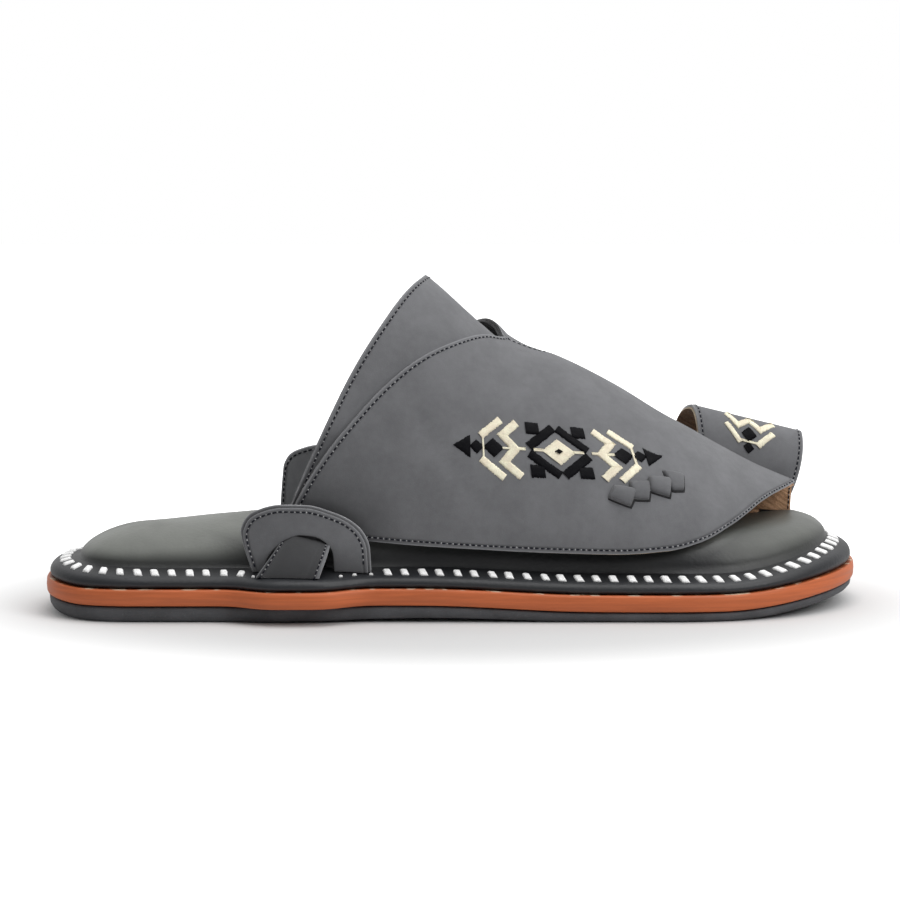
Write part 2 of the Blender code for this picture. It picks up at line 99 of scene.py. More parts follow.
# Edge profiles, each row a ring of the side wall: inset from the outline, share of the layer's height
EdgeRing = namedtuple("EdgeRing", "inset height")
OUTSOLE_EDGE = table(EdgeRing, [
    (3.8, 0.0), (2.7, 0.04), (2.0, 0.14), (1.2, 0.42), (1.0, 0.8), (1.25, 0.95), (1.8, 1.0),
])
MIDSOLE_EDGE = table(EdgeRing, [
    (1.5, 0.0), (0.5, 0.03), (0.15, 0.15), (0.0, 0.5), (0.15, 0.85), (0.5, 0.97), (1.6, 1.0),
])
MARGIN_EDGE = table(EdgeRing, [
    (2.6, 0.0), (1.7, 0.1), (1.3, 0.28), (1.35, 0.45), (1.6, 0.6), (2.1, 0.77), (2.8, 0.9),
    (3.8, 1.02), (5.0, 1.12),
])
MARGIN_SLOPE = [0.3, 0.62, 0.86]
PAD_INSET = 11.8
PAD_TOE_INSET = 10.2
PAD_RINGS = [0.0, 0.008, 0.02, 0.04, 0.065, 0.1, 0.14, 0.19, 0.26, 0.35, 0.45, 0.57, 0.7, 0.85]
PUCKER_DEPTH, PUCKER_WAVES, PUCKER_DRIFT = 0.14, 14.0, 3.0
PUCKER_START, PUCKER_END = (0.0, 0.03), (0.06, 0.22)
# Share of the pad crown's painted highlight that is left at the toe end
TOE_PAINTED_LIGHT_SHARE = 0.62

# Margin stitches: inset of their middle from the outline, less beside the toes and more at the tip; the ears'
# feet cover most of a stitch and the tails a whole one
STITCH_INSET, STITCH_TOE_PULL, STITCH_TOE_X, STITCH_TOE_SPREAD = 6.6, 0.9, 105.0, 20.0
STITCH_TIP_PUSH, STITCH_TIP = 1.0, (124.0, 142.0)
STITCH_SLANT, STITCH_TURN, STITCH_SIZE = 0.22, 0.06, (0.93, 1.05)
STITCH_SUNK, STITCH_DOME, STITCH_STEPS = 0.2, 0.95, 1440
STITCH_CAUGHT_X = {"lateral": (-69.0, -27.5), "medial": (-66.0, -19.0)}
STITCH_COVERED_X = {"lateral": (-64.0, -44.0), "medial": (-64.0, -40.0)}
STITCH_CAUGHT_INSET, STITCH_CAUGHT_WIDTH, STITCH_CAUGHT_LENGTH = 4.7, 0.55, 0.1

# Upper: cross sections of the last, with the crest line and the two hems
WALL = 2.0
LINING_GAP, LINING_REACH, LINING_TOE_REACH = 0.05, 0.3, 0.45
LINING_TOE, LINING_FRONT_PULL = (92.0, 108.0), -0.6
LINING_SHADOW, RAW_EDGE_SHADOW = (0.01, 0.007, 0.005, 1.0), (0.06, 0.05, 0.045, 1.0)
Section = namedtuple("Section", "x crest_y crest_z lateral_y lateral_z medial_y medial_z"
                                " lateral_round medial_round")
SECTIONS = table(Section, [
    (-62.0, -6.0, 152.0, -38.5, 29.5, 10.5, 31.0, 2.0, 2.0),
    (-30.0, -3.0, 130.0, -39.0, 26.8, 12.5, 30.0, 1.95, 1.95),
    (-10.7, -1.0, 117.3, -39.5, 25.4, 17.5, 29.0, 1.9, 1.9),
    (10.0, 1.0, 99.0, -40.0, 24.2, 28.0, 27.5, 1.8, 1.9),
    (17.0, 2.0, 93.4, -40.0, 23.8, 32.0, 27.0, 1.8, 1.9),
    (38.5, 4.5, 85.2, -40.5, 23.0, 42.0, 26.5, 1.75, 1.8),
    (56.0, 6.5, 76.0, -40.5, 22.6, 40.0, 36.0, 1.7, 1.8),
    (73.6, 9.5, 65.2, -38.5, 23.6, 26.0, 46.0, 1.65, 1.9),
    (85.0, 11.0, 59.0, -33.5, 26.2, 18.5, 40.0, 1.6, 2.0),
    (96.0, 12.0, 52.8, -23.5, 30.9, 17.4, 29.0, 1.45, 2.2),
    (110.0, 13.0, 45.4, -6.0, 36.9, 17.4, 28.5, 1.2, 2.4),
    (123.6, 14.2, 40.2, 11.8, 39.8, 17.2, 28.5, 1.1, 2.4),
])
UPPER_FRONT, FRONT_LEAN = 123.6, -0.7
FRONT_TRIM = 0.85
SLIT_START = 93.0
CrossLine = namedtuple("CrossLine", "share throat wing")
CROSS_LINES = table(CrossLine, [
    (0.0, -10.4, 17.6), (0.1, -11.6, 15.0), (0.2, -14.1, 9.6), (0.4, -22.2, -2.9),
    (0.7, -39.9, -31.0), (0.9, -53.4, -51.5), (1.0, -60.6, -60.2),
])
MEDIAL_SWEEP = 0.86
TAIL_LAST_ROW = 0.095
ROW_STEP = 0.02

# Tails: from the hem, out through the ear, down to the lobe of the sole
TAIL_WALL = 1.3
TAIL_LOBE_INSET = {"lateral": 5.2, "medial": 8.0}
TAIL_FLARE, TAIL_GATHER, TAIL_TUCK = 7.2, 3.8, 2.4
TAIL_TURN_OUT, TAIL_TURN_DOWN = 0.9, 0.1
TAIL_CROWN, TAIL_PINCH = 3.4, 1.7
TAIL_COLUMNS, BAND_COLUMNS, BAND_ROWS = 14, 72, 16

# Beside each ear the upper is drawn in a little and darkened with painted shade: middle of the spot, depth
# and reach, then how dark each sheet's painted shade is and how fast that fades, and the full painted shade
# on the tails past the hems
DRAWN_SPOT = {"lateral": (-50.0, 25.0), "medial": (-41.0, 29.0)}
DRAWN_DEPTH, DRAWN_REACH, DRAWN_POWER = {"lateral": 5.0, "medial": 0.0}, 46.0, 1.5
PAINTED_SHADE = {"instep_band": (0.95, 0.5), "wing_lateral": (0.66, 1.0), "wing_medial": (0.5, 1.0)}
PAINTED_SHADE_TAIL, PAINTED_SHADE_HEM = 1.0, (-1.0, 3.0)

# Wings: where the outer wing ends past the crest, the lip of the inner wing and a soft crease
WING_COLUMNS, WING_ROWS = 56, 84
OVERLAP_START, OVERLAP_TURN, OVERLAP_END = -0.045, 0.1, 0.5
INNER_WING_END, INNER_WING_TUCK = 0.62, 0.12
INNER_WING_DIP, INNER_WING_GAP = (-0.04, 0.1), 0.05
LIP_LIFT, LIP_LENGTH, LIP_START, LIP_END = 9.0, 14.0, (0.05, 0.3), (0.45, 0.95)
CREASE = [(-12.2, 67.8), (-1.8, 52.8), (8.5, 37.8)]
CREASE_DEPTH, CREASE_WIDTH, CREASE_RIDGE, CREASE_REAR_SHARE = 0.6, 4.0, 0.3, 0.4
SOFT_WAVE, SOFT_WAVE_LENGTH, SOFT_WAVE_RIM = 0.35, 26.0, 0.1

# Ears: horseshoe loops of two layers standing on the margin, each outline from the rear foot to the front
# foot; x is from the ear's middle and drop is from its top
Ear = namedtuple("Ear", "side x height rear_foot")
EARS = [Ear("lateral", -51.5, 22.9, 0.0), Ear("medial", -40.6, 37.9, -5.5)]
EarSpot = namedtuple("EarSpot", "x drop")
EAR_RIM = table(EarSpot, [
    (-18.4, 22.2), (-21.6, 12.4), (-22.3, 8.5), (-20.6, 4.2), (-17.4, 2.0), (-9.0, 0.1), (0.0, 0.3),
    (9.0, 2.6), (15.3, 5.2), (19.6, 8.8), (22.0, 14.0), (22.5, 22.2),
])
EAR_HOLE = table(EarSpot, [
    (-14.6, 22.2), (-13.1, 17.9), (-9.3, 13.4), (-5.9, 11.5), (-2.1, 10.4), (2.6, 10.8), (6.4, 12.5),
    (9.2, 16.0), (9.8, 22.2),
])
EAR_LEG_START, EAR_LEG_END = 9.0, 22.2
EAR_INSET = 6.4
EAR_LEAN = 1.2
EAR_COLUMNS, EAR_ROWS = 64, 8
# Painted shade on the ears: strongest at their feet, fading over a rise, and on the lateral ear also towards
# its rear; the ears' inner faces are painted paler as painted light
EAR_PAINTED_SHADE, EAR_PAINTED_SHADE_RISE, EAR_PAINTED_SHADE_REAR = 0.6, 12.0, {"lateral": 0.3, "medial": 0.0}
EAR_PAINTED_SHADE_SPAN, EAR_INNER_PAINTED_LIGHT = (-24.0, 0.0), 1.6
EarLayer = namedtuple("EarLayer", "name offset reach edge")
EAR_LAYERS = [EarLayer("front", 1.35, 0.92, "suede_lining"), EarLayer("back", 0.0, 1.0, "dyed_edge")]

# Toe ring: an arch over the big toe, between the slit and the inner margin
RingEdge = namedtuple("RingEdge", "crest_x crest_y crest_z lateral_x lateral_y medial_x medial_y")
RING_REAR = RingEdge(88.0, 34.0, 66.0, 90.5, 22.0, 79.0, 47.5)
RING_FRONT = RingEdge(128.7, 33.0, 56.2, 121.0, 22.0, 112.0, 45.5)
RING_WALL = 2.0
RING_ROUND = 2.2
RING_SWEEP = 2.0
RING_COLUMNS, RING_ROWS = 64, 24

# Thong: a lace through slits in the outer wing, seen as four pillows; corners from the upper rear one
Pillow = namedtuple("Pillow", "x z rise corners")
THONG = [
    Pillow(57.4, 42.6, 3.0, [(-2.7, 3.1), (4.9, 1.7), (2.6, -3.8), (-4.8, -0.9)]),
    Pillow(63.7, 43.9, 2.3, [(-3.8, 3.0), (3.5, 2.7), (2.9, -3.0), (-2.6, -2.7)]),
    Pillow(70.5, 45.1, 3.0, [(-3.7, 3.0), (4.1, 1.9), (3.3, -3.6), (-3.7, -1.3)]),
    Pillow(76.3, 46.3, 2.3, [(-4.3, 3.6), (3.0, 1.9), (2.7, -2.9), (-1.4, -2.7)]),
]
# The pillows are darkened evenly with painted shade
PILLOW_GROW, PILLOW_ROUND, PILLOW_PAINTED_SHADE = 1.1, 0.04, 0.22
PILLOW_SUNK, PILLOW_STEPS, SLIT_STEPS = 0.3, 16, 6
# The dark patch behind each pillow is painted shadow for its slit and for the pillow's shade, grown and
# shifted down and towards the toe
SLIT_GROW, SLIT_RISE, SLIT_SHADOW_SHIFT = 1.14, 0.12, (0.3, -0.5)

# Points inside the hollow of each sheet, which its faces turn away from
BAND_HOLLOW, WING_HOLLOW, RING_HOLLOW = (-20.0, -8.0, 40.0), (40.0, 2.0, 30.0), (105.0, 34.0, 40.0)
THONG_HOLLOW, EAR_HOLLOW_RISE = (60.0, 0.0, 40.0), 30.0

# Seams: half lengths of a stitch and a pucker in shares of the pitch, and how a seam's path is found;
# NO_RIM is a distance to the rim that is past every seam
Seam = namedtuple("Seam", "piece place edge start end through inset", defaults=(0.0, 1.0, 0.0, 1.0))
SEAM_STITCH, SEAM_PUCKER, SEAM_PUCKER_WIDTH = 0.36, 0.13, (0.4, 0.7)
SEAM_STEPS, SEAM_NUDGE = 640, 0.03
NO_RIM = 9.0

# Embroidery: where the motif's own axes (out and across) lie, seen from the side and tilted down
MotifPlace = namedtuple("MotifPlace", "tilt start x rise out_x out_rise across_x across_rise taper splay")
WING_MOTIF = MotifPlace(0.0, 0.0, 35.6, 57.1, 0.349, -0.0285, 0.06, -0.329, 0.0016, 0.0017)
RING_MOTIF = MotifPlace(45.0, 41.0, 108.7, 65.6, -0.017, -0.291, 0.364, -0.078, 0.002, 0.0)
THREAD_PITCH, THREAD_UNEVEN, THREAD_UNEVEN_SHARE = 1.3, 0.5, 0.06
EYE_LIFT, PATCH_WALL, UPPER_HALF = 0.6, 0.4, 0.93

# Camera and studio
CAMERA_PLACE, CAMERA_PITCH = (-0.002, -0.8927, 0.1466), 5.9
CAMERA_LENS, CAMERA_SENSOR = 99.94, 36.0
Lamp = namedtuple("Lamp", "name place size power")
LAMPS = [
    Lamp("top_light", (0.25, -0.1, 1.15), 1.0, 7.4),
    Lamp("toe_light", (0.9, -0.7, 0.8), 0.6, 6.0),
]
LAMP_AIM, FLOOR_SIZE = (0.0, 0.0, 0.04), 6.0
FLOOR_SHADE, FLOOR_NEAR, FLOOR_FAR = (0.2, 0.15), 0.6, 1.4
SURROUND_FRONT, SURROUND_BACK, SURROUND_TOP = 0.235, 0.85, 0.25


def smooth_value(keys, values, key):
    """Monotone cubic through a short column of values, held at both ends."""
    if key <= keys[0]:
        return values[0]
    if key >= keys[-1]:
        return values[-1]
    spans = [b - a for a, b in zip(keys, keys[1:])]
    rises = [(b - a) / span for a, b, span in zip(values, values[1:], spans)]
    slopes = [rises[0]]
    for before, after in zip(rises, rises[1:]):
        turning = before * after <= 0.0
        slopes.append(0.0 if turning else 2.0 * before * after / (before + after))
    slopes.append(rises[-1])
    i = max(n for n, start in enumerate(keys) if start <= key)
    t = (key - keys[i]) / spans[i]
    start = (1.0 + 2.0 * t) * (1.0 - t) ** 2 * values[i] + t * (1.0 - t) ** 2 * spans[i] * slopes[i]
    end = t * t * (3.0 - 2.0 * t) * values[i + 1] + t * t * (t - 1.0) * spans[i] * slopes[i + 1]
    return start + end


def along(stations, column, x):
    """One column of a table of stations, read at x."""
    return smooth_value([row.x for row in stations], [getattr(row, column) for row in stations], x)


def bell(distance, spread):
    """Smooth bump, 1 in the middle."""
    return math.exp(-0.5 * (distance / spread) ** 2)


def ease(low, high, value):
    """Smooth step from 0 at low to 1 at high."""
    t = min(max((value - low) / (high - low), 0.0), 1.0)
    return t * t * (3.0 - 2.0 * t)


def half_arch(share, roundness):
    """Spread and height of a rounded half arch, from its crest (0) to its foot (1)."""
    angle = share * math.pi / 2.0
    power = 2.0 / roundness
    return math.sin(angle) ** power, max(math.cos(angle), 0.0) ** power


def end_round(x, side):
    """Share of the width that is left in the rounded heel and toe ends."""
    heel = (HEEL_CAP - HALF_LENGTH - x) / HEEL_CAP
    toe = (x - HALF_LENGTH + TOE_CAP) / TOE_CAP
    if heel > 0.0:
        return max(1.0 - heel ** HEEL_ROUND, 0.0) ** (1.0 / HEEL_ROUND)
    if toe > 0.0:
        return max(1.0 - toe ** TOE_ROUND[side], 0.0) ** (1.0 / TOE_ROUND[side])
    return 1.0


def sole_edge(x, side, lobe_share):
    """Y of the sole's outline on one side, with its lobe beside the ear."""
    axis = along(SOLE, "axis", x)
    flat_bump = math.exp(-((x - LOBE_X[side]) / LOBE_SPREAD) ** 4)
    lobe = SIDES[side] * LOBE_REACH * lobe_share * flat_bump
    return axis + (along(SOLE, side, x) - axis) * end_round(x, side) + lobe


def outline_point(share, lobe_share):
    """Point of the sole's plan outline, from the toe (0) round by the medial side."""
    share %= 1.0
    x = HALF_LENGTH * math.cos(2.0 * math.pi * share)
    return Vector((x, sole_edge(x, "medial" if share < 0.5 else "lateral", lobe_share)))


def inset_point(share, lobe_share, inset):
    """Point of the outline moved inwards."""
    run = outline_point(share + OUTLINE_STEP, lobe_share) - outline_point(share - OUTLINE_STEP, lobe_share)
    return outline_point(share, lobe_share) + Vector((-run.y, run.x)).normalized() * inset


def outsole_low(x):
    return along(SOLE, "bottom", x)


def outsole_top(x):
    return outsole_low(x) + along(SOLE, "outsole", x)


def midsole_low(x):
    return outsole_top(x) + CLEARANCE


def midsole_top(x):
    return outsole_top(x) + MIDSOLE_HEIGHT


def footbed_low(x):
    return midsole_top(x) + CLEARANCE


def margin_top(x):
    return midsole_top(x) + along(SOLE, "margin", x)


def pad_foot(x):
    """Height of the line where the padded bed rises from the sloping margin."""
    return margin_top(x) + along(SOLE, "rise", x)


def pad_inset(x):
    """Inset of the padded bed's foot line from the outline."""
    toe_share = max(x - HALF_LENGTH + TOE_CAP, 0.0) / TOE_CAP
    return PAD_INSET + (PAD_TOE_INSET - PAD_INSET) * toe_share


def pad_height(x, y, dome):
    """Height of the padded bed over its foot line, raised under the inner arch of the foot."""
    axis = along(SOLE, "axis", x)
    inner_share = max((y - axis) / (along(SOLE, "medial", x) - axis), 0.0)
    arch = ARCH_RISE * bell(x - ARCH_X, ARCH_SPREAD) * inner_share
    return (along(SOLE, "crown", x) + arch) * dome


def crown_top(x):
    """Height of the padded bed on its middle line."""
    return pad_foot(x) + pad_height(x, along(SOLE, "axis", x), 1.0)


def spine_point(x, height_at):
    """Point of the sole's middle line, which stops short of the rounded ends."""
    held = min(max(x, HEEL_CAP - HALF_LENGTH), HALF_LENGTH - TOE_CAP)
    return Vector((held, along(SOLE, "axis", held), height_at(held)))


def edge_ring_point(share, lobe_share, ring, low_at, high_at):
    """Point of a layer's side wall between two height functions."""
    place = inset_point(share, lobe_share, ring.inset)
    low, high = low_at(place.x), high_at(place.x)
    return Vector((place.x, place.y, low + (high - low) * ring.height))


def layer_place(profile, lobe_share, low_at, high_at):
    """Placing function of a sole layer: underside, side wall and top, each closed to the middle line."""
    last = len(profile) + 1

    def place(s, t):
        row = round(t * last)
        if row in (0, last):
            x = HALF_LENGTH * math.cos(2.0 * math.pi * s)
            return spine_point(x, high_at if row else low_at)
        return edge_ring_point(s, lobe_share, profile[row - 1], low_at, high_at)

    return place, last


def pad_point(share, ring):
    """Point of the padded bed, from its foot line (0) to the middle line (1), with soft puckers low down."""
    foot = inset_point(share, 0.0, pad_inset(outline_point(share, 0.0).x))
    middle = spine_point(foot.x, crown_top).to_2d()
    place = foot.lerp(middle, ring)
    across = (middle - foot).length
    reach = min(ring * across / min(along(SOLE, "shoulder", place.x), across), 1.0)
    rise = pad_height(place.x, place.y, math.sqrt(1.0 - (1.0 - reach) ** 2))
    angle = 2.0 * math.pi * share
    round_waves = PUCKER_WAVES * math.cos(angle), PUCKER_WAVES * math.sin(angle)
    pucker = noise.noise(Vector((*round_waves, PUCKER_DRIFT * ring)))
    pucker *= PUCKER_DEPTH * ease(*PUCKER_START, ring) * (1.0 - ease(*PUCKER_END, ring))
    return Vector((place.x, place.y, pad_foot(place.x) + rise + pucker))


def footbed_place():
    """Placing function of the footbed: underside, stitched margin, then the padded bed."""
    slope_start = len(MARGIN_EDGE)
    pad_start = slope_start + len(MARGIN_SLOPE)
    last = pad_start + len(PAD_RINGS) + 1

    def place(s, t):
        row = round(t * last)
        x = HALF_LENGTH * math.cos(2.0 * math.pi * s)
        if row == 0:
            return spine_point(x, footbed_low)
        if row == last:
            return spine_point(inset_point(s, 0.0, pad_inset(x)).x, crown_top)
        if row > pad_start:
            return pad_point(s, PAD_RINGS[row - pad_start - 1])
        if row <= slope_start:
            return edge_ring_point(s, 1.0, MARGIN_EDGE[row - 1], footbed_low, margin_top)
        share = MARGIN_SLOPE[row - slope_start - 1]
        rim = edge_ring_point(s, 1.0, MARGIN_EDGE[-1], footbed_low, margin_top)
        return rim.lerp(pad_point(s, 0.0), share)

    return place, last


def drawn_share(x, z, side):
    """How strongly a place beside an ear is drawn in, from 1 in the middle of the spot to 0 at its reach."""
    spot_x, spot_z = DRAWN_SPOT[side]
    return 1.0 - ease(0.0, DRAWN_REACH, math.hypot(x - spot_x, z - spot_z))


def arch_point(x, u):
    """Point of the last's surface: u runs from the lateral hem (-1) over the crest to the medial hem (1)."""
    side = "lateral" if u < 0.0 else "medial"
    spread, rise = half_arch(min(abs(u), 1.0), along(SECTIONS, side + "_round", x))
    crest_y, crest_z = along(SECTIONS, "crest_y", x), along(SECTIONS, "crest_z", x)
    hem_y, hem_z = along(SECTIONS, side + "_y", x), along(SECTIONS, side + "_z", x)
    y, z = crest_y + (hem_y - crest_y) * spread, hem_z + (crest_z - hem_z) * rise
    return Vector((x, y - SIDES[side] * DRAWN_DEPTH[side] * drawn_share(x, z, side) ** DRAWN_POWER, z))


def cross_x(line, u):
    """X of a line that crosses the upper from hem to hem; it sweeps back less on the medial side."""
    shares = [row.share for row in CROSS_LINES]
    places = [getattr(row, line) for row in CROSS_LINES]
    x = smooth_value(shares, places, min(abs(u), 1.0))
    return x if u < 0.0 else places[0] + (x - places[0]) * MEDIAL_SWEEP


def upper_x(row, u):
    """X of a grid row: rows 0 to 1 lie on the instep band, rows 1 to 2 on the wings."""
    throat, wing = cross_x("throat", u), cross_x("wing", u)
    if row <= 1.0:
        return throat + (wing - throat) * row
    return wing + (UPPER_FRONT + FRONT_LEAN * max(u, 0.0) - wing) * (row - 1.0)


def tail_point(row, u, seat):
    """Point of a tail, past the hem: it is pinched in the ear, turns outwards and ends on the lobe."""
    side = "lateral" if u < 0.0 else "medial"
    hem = arch_point(upper_x(row, u), math.copysign(1.0, u))
    s = abs(u) - 1.0
    line_start = cross_x("throat", u)
    line_end = upper_x(1.0 + TAIL_LAST_ROW, u)
    rearness = (line_end - hem.x) / (line_end - line_start)
    end_x = hem.x - TAIL_FLARE * rearness - TAIL_GATHER * (1.0 - rearness)
    lobe_inset = TAIL_LOBE_INSET[side] + TAIL_TUCK * rearness ** 2
    end_y = sole_edge(LOBE_X[side], side, 1.0) - SIDES[side] * lobe_inset
    end_z = seat(end_x, end_y)
    turn_y = hem.y + (end_y - hem.y) * TAIL_TURN_OUT
    turn_z = hem.z + (end_z - hem.z) * TAIL_TURN_DOWN
    within_ear = 4.0 * s * (1.0 - s)
    x = hem.x + (end_x - hem.x) * s * s + TAIL_PINCH * rearness * within_ear
    y = (1.0 - s) ** 2 * hem.y + 2.0 * s * (1.0 - s) * turn_y + s * s * end_y
    z = (1.0 - s) ** 2 * hem.z + 2.0 * s * (1.0 - s) * turn_z + s * s * end_z
    return Vector((x, y, z + TAIL_CROWN * math.sin(math.pi * rearness) * within_ear))


def upper_point(row, u, seat):
    """Point of the last's surface or, past the hems, of a tail."""
    if abs(u) > 1.0:
        return tail_point(row, u, seat)
    return arch_point(upper_x(row, u), u)


def upper_normal(row, u, seat):
    """Outward normal of the last's surface, from small steps along both directions."""
    reach = 1.0 if row > 1.0 + TAIL_LAST_ROW else 2.0
    low, high = max(row - ROW_STEP, 0.0), min(row + ROW_STEP, 2.0)
    if abs(u) > 1.0:
        high = min(high, 1.0 + TAIL_LAST_ROW)
    left, right = max(u - ROW_STEP, -reach), min(u + ROW_STEP, reach)
    along_row = upper_point(high, u, seat) - upper_point(low, u, seat)
    across = upper_point(row, right, seat) - upper_point(row, left, seat)
    return along_row.cross(across).normalized()


def soft_wave(point):
    """Slow unevenness of worn leather, in millimetres."""
    return SOFT_WAVE * noise.noise(point / SOFT_WAVE_LENGTH)


def crease_depth(point):
    """Depth of the soft crease across the outer wing, with a low ridge beside it."""
    spot, gaps = Vector((point.x, point.z)), []
    for start, end in zip(map(Vector, CREASE), map(Vector, CREASE[1:])):
        share = intersect_point_line(spot.to_3d(), start.to_3d(), end.to_3d())[1]
        gaps.append(spot - start.lerp(end, min(max(share, 0.0), 1.0)))
    nearest = min(gaps, key=lambda gap: gap.length)
    trough = CREASE_DEPTH * bell(nearest.length, CREASE_WIDTH / 2.0)
    ridge = CREASE_RIDGE * bell(nearest.length - CREASE_WIDTH * 1.5, CREASE_WIDTH)
    return trough - (ridge if math.copysign(1.0, nearest.x) > 0.0 else CREASE_REAR_SHARE * ridge)


def band_place(seat):
    """Placing function of the instep band with its two tails."""
    columns = BAND_COLUMNS + 2 * TAIL_COLUMNS

    def place(s, t):
        k = s * columns
        if k < TAIL_COLUMNS:
            u = -2.0 + k / TAIL_COLUMNS
        elif k > TAIL_COLUMNS + BAND_COLUMNS:
            u = 1.0 + (k - TAIL_COLUMNS - BAND_COLUMNS) / TAIL_COLUMNS
        else:
            u = 2.0 * (k - TAIL_COLUMNS) / BAND_COLUMNS - 1.0
        row = t * (1.0 + TAIL_LAST_ROW)
        lift = TAIL_WALL * ease(1.0, 2.0, abs(u))
        return upper_point(row, u, seat) + upper_normal(row, u, seat) * lift

    return place, columns


def overlap_edge(t):
    """Where the outer wing ends: on top of the inner wing near the crest, then at the medial hem."""
    return OVERLAP_START + (1.0 - OVERLAP_START) * ease(OVERLAP_TURN, OVERLAP_END, t)


def wing_lateral_place(seat):
    """Placing function of the outer wing's outer face."""
    def place(s, t):
        u = -1.0 + (1.0 + overlap_edge(t)) * s
        point, normal = upper_point(1.0 + t, u, seat), upper_normal(1.0 + t, u, seat)
        away = min(s, 1.0 - s, t, 1.0 - t)
        soft = soft_wave(point) * ease(0.0, SOFT_WAVE_RIM, away)
        moved = point + normal * (WALL + soft - crease_depth(point))
        moved.x += (point.x - moved.x) * ease(FRONT_TRIM, 1.0, t)
        if u == 1.0 and moved.x > SLIT_START:
            moved.z = seat(moved.x, moved.y) + SEAT_GAP
        return moved

    return place


def lip_lift(x, u):
    """How far the loose rear edge of the inner wing stands off the instep band."""
    along_edge = ease(*LIP_START, u) * (1.0 - ease(*LIP_END, u))
    return LIP_LIFT * along_edge * math.exp(-((x - cross_x("wing", u)) / LIP_LENGTH) ** 2)


def wing_medial_place(seat):
    """Placing function of the inner wing's outer face: it dips under the outer wing near the crest."""
    def place(s, t):
        t *= INNER_WING_END
        start = overlap_edge(t) - INNER_WING_TUCK
        u = start + (1.0 - start) * s
        point, normal = upper_point(1.0 + t, u, seat), upper_normal(1.0 + t, u, seat)
        dip = ease(*(overlap_edge(t) + end for end in INNER_WING_DIP), u)
        return point + normal * (WALL * dip - INNER_WING_GAP + lip_lift(point.x, u))

    return place


def ring_point(share, u, offset, seat):
    """Point of the toe ring: share runs from the rear edge to the front edge."""
    row = RingEdge(*(a + (b - a) * share for a, b in zip(RING_REAR, RING_FRONT)))
    foot_x, foot_y = (row.lateral_x, row.lateral_y) if u < 0.0 else (row.medial_x, row.medial_y)
    spread, rise = half_arch(abs(u), RING_ROUND)
    foot_y += math.copysign(offset, u)
    foot_z = seat(foot_x, foot_y) + SEAT_GAP
    sweep = spread * (1.0 - share) + (1.0 - rise) ** RING_SWEEP * share
    x = row.crest_x + (foot_x - row.crest_x) * sweep
    y = row.crest_y + (foot_y - row.crest_y) * spread
    return Vector((x, y, foot_z + (row.crest_z + offset - foot_z) * rise))


def ring_place(seat):
    """Placing function of the toe ring's outer face."""
    return lambda s, t: ring_point(t, 2.0 * s - 1.0, RING_WALL, seat)


def ear_spot(outline, share, ear):
    """Place on one outline of an ear: X, and the height over the margin, with longer legs on a taller ear."""
    keys = [0.0]
    for a, b in zip(outline, outline[1:]):
        keys.append(keys[-1] + math.hypot(b.x - a.x, b.drop - a.drop))
    x = smooth_value(keys, [spot.x for spot in outline], share * keys[-1])
    drop = smooth_value(keys, [spot.drop for spot in outline], share * keys[-1])
    leg = (drop - EAR_LEG_START) / (EAR_LEG_END - EAR_LEG_START)
    if leg > 0.0:
        drop = EAR_LEG_START + (ear.height - EAR_LEG_START) * leg
        x += ear.rear_foot * leg if x < 0.0 else 0.0
    return Vector((ear.x + x, ear.height - drop))


def ear_place(ear, layer, seat):
    """Placing function of one layer of an ear, from its opening to its rim."""
    sign = SIDES[ear.side]

    def place(s, t):
        spot = ear_spot(EAR_HOLE, s, ear).lerp(ear_spot(EAR_RIM, s, ear), t * layer.reach)
        base_y = sole_edge(spot.x, ear.side, 0.0) - sign * EAR_INSET
        y = base_y + sign * (layer.offset - EAR_LEAN * spot.y / ear.height)
        return Vector((spot.x, y, seat(spot.x, base_y) + spot.y))

    return place


def shaped_grid(body, columns, rows, place):
    """Adds a grid whose points a function of two shares puts in place, and keeps the shares on the points."""
    layers = [body.verts.layers.float.get(name) or body.verts.layers.float.new(name)
              for name in ("across", "along")]
    grid = bmesh.ops.create_grid(body, x_segments=columns, y_segments=rows, size=0.5)["verts"]
    for vertex in grid:
        s = round((vertex.co.x + 0.5) * columns) / columns
        t = round((vertex.co.y + 0.5) * rows) / rows
        vertex.co = place(s, t) * MM
        vertex[layers[0]], vertex[layers[1]] = s, t
    return grid


def weld(body):
    """Joins the points that meet and turns all faces outwards."""
    bmesh.ops.remove_doubles(body, verts=body.verts, dist=2e-6)
    bmesh.ops.recalc_face_normals(body, faces=body.faces)


def close_underside(body, grid):
    """Closes a domed patch from below."""
    rim = {edge for vertex in grid for edge in vertex.link_edges if edge.is_boundary}
    bmesh.ops.holes_fill(body, edges=list(rim), sides=0)


def turn_outwards(body, inside):
    """Turns a sheet's faces away from a point, in millimetres, that lies on its hollow side."""
    body.normal_update()
    hollow = Vector(inside) * MM
    facing = sum((face.calc_center_median() - hollow).dot(face.normal) for face in body.faces)
    if facing < 0.0:
        bmesh.ops.reverse_faces(body, faces=body.faces)


def mark_rim(body, sewn):
    """Keeps each point's distance to the sheet's sewn edges, in millimetres, for the seams and the painted
    highlight along the rims.
    """
    layer = body.verts.layers.float.new("rim")
    shares = [body.verts.layers.float[name] for name in ("across", "along")]
    ends = {"left": (0, 0.0), "right": (0, 1.0), "rear": (1, 0.0), "front": (1, 1.0)}
    rim = []
    for axis, end in (ends[name] for name in sewn):
        rim += [edge for edge in body.edges if all(vertex[shares[axis]] == end for vertex in edge.verts)]
    tree = kdtree.KDTree(2 * len(rim))
    for n, edge in enumerate(rim):
        for vertex in edge.verts:
            tree.insert(vertex.co, n)
    tree.balance()
    for vertex in body.verts:
        least = 1.0
        for _, n, _ in tree.find_n(vertex.co, 4):
            a, b = (end.co for end in rim[n].verts)
            share = min(max(intersect_point_line(vertex.co, a, b)[1], 0.0), 1.0)
            least = min(least, (vertex.co - a.lerp(b, share)).length)
        vertex[layer] = least / MM


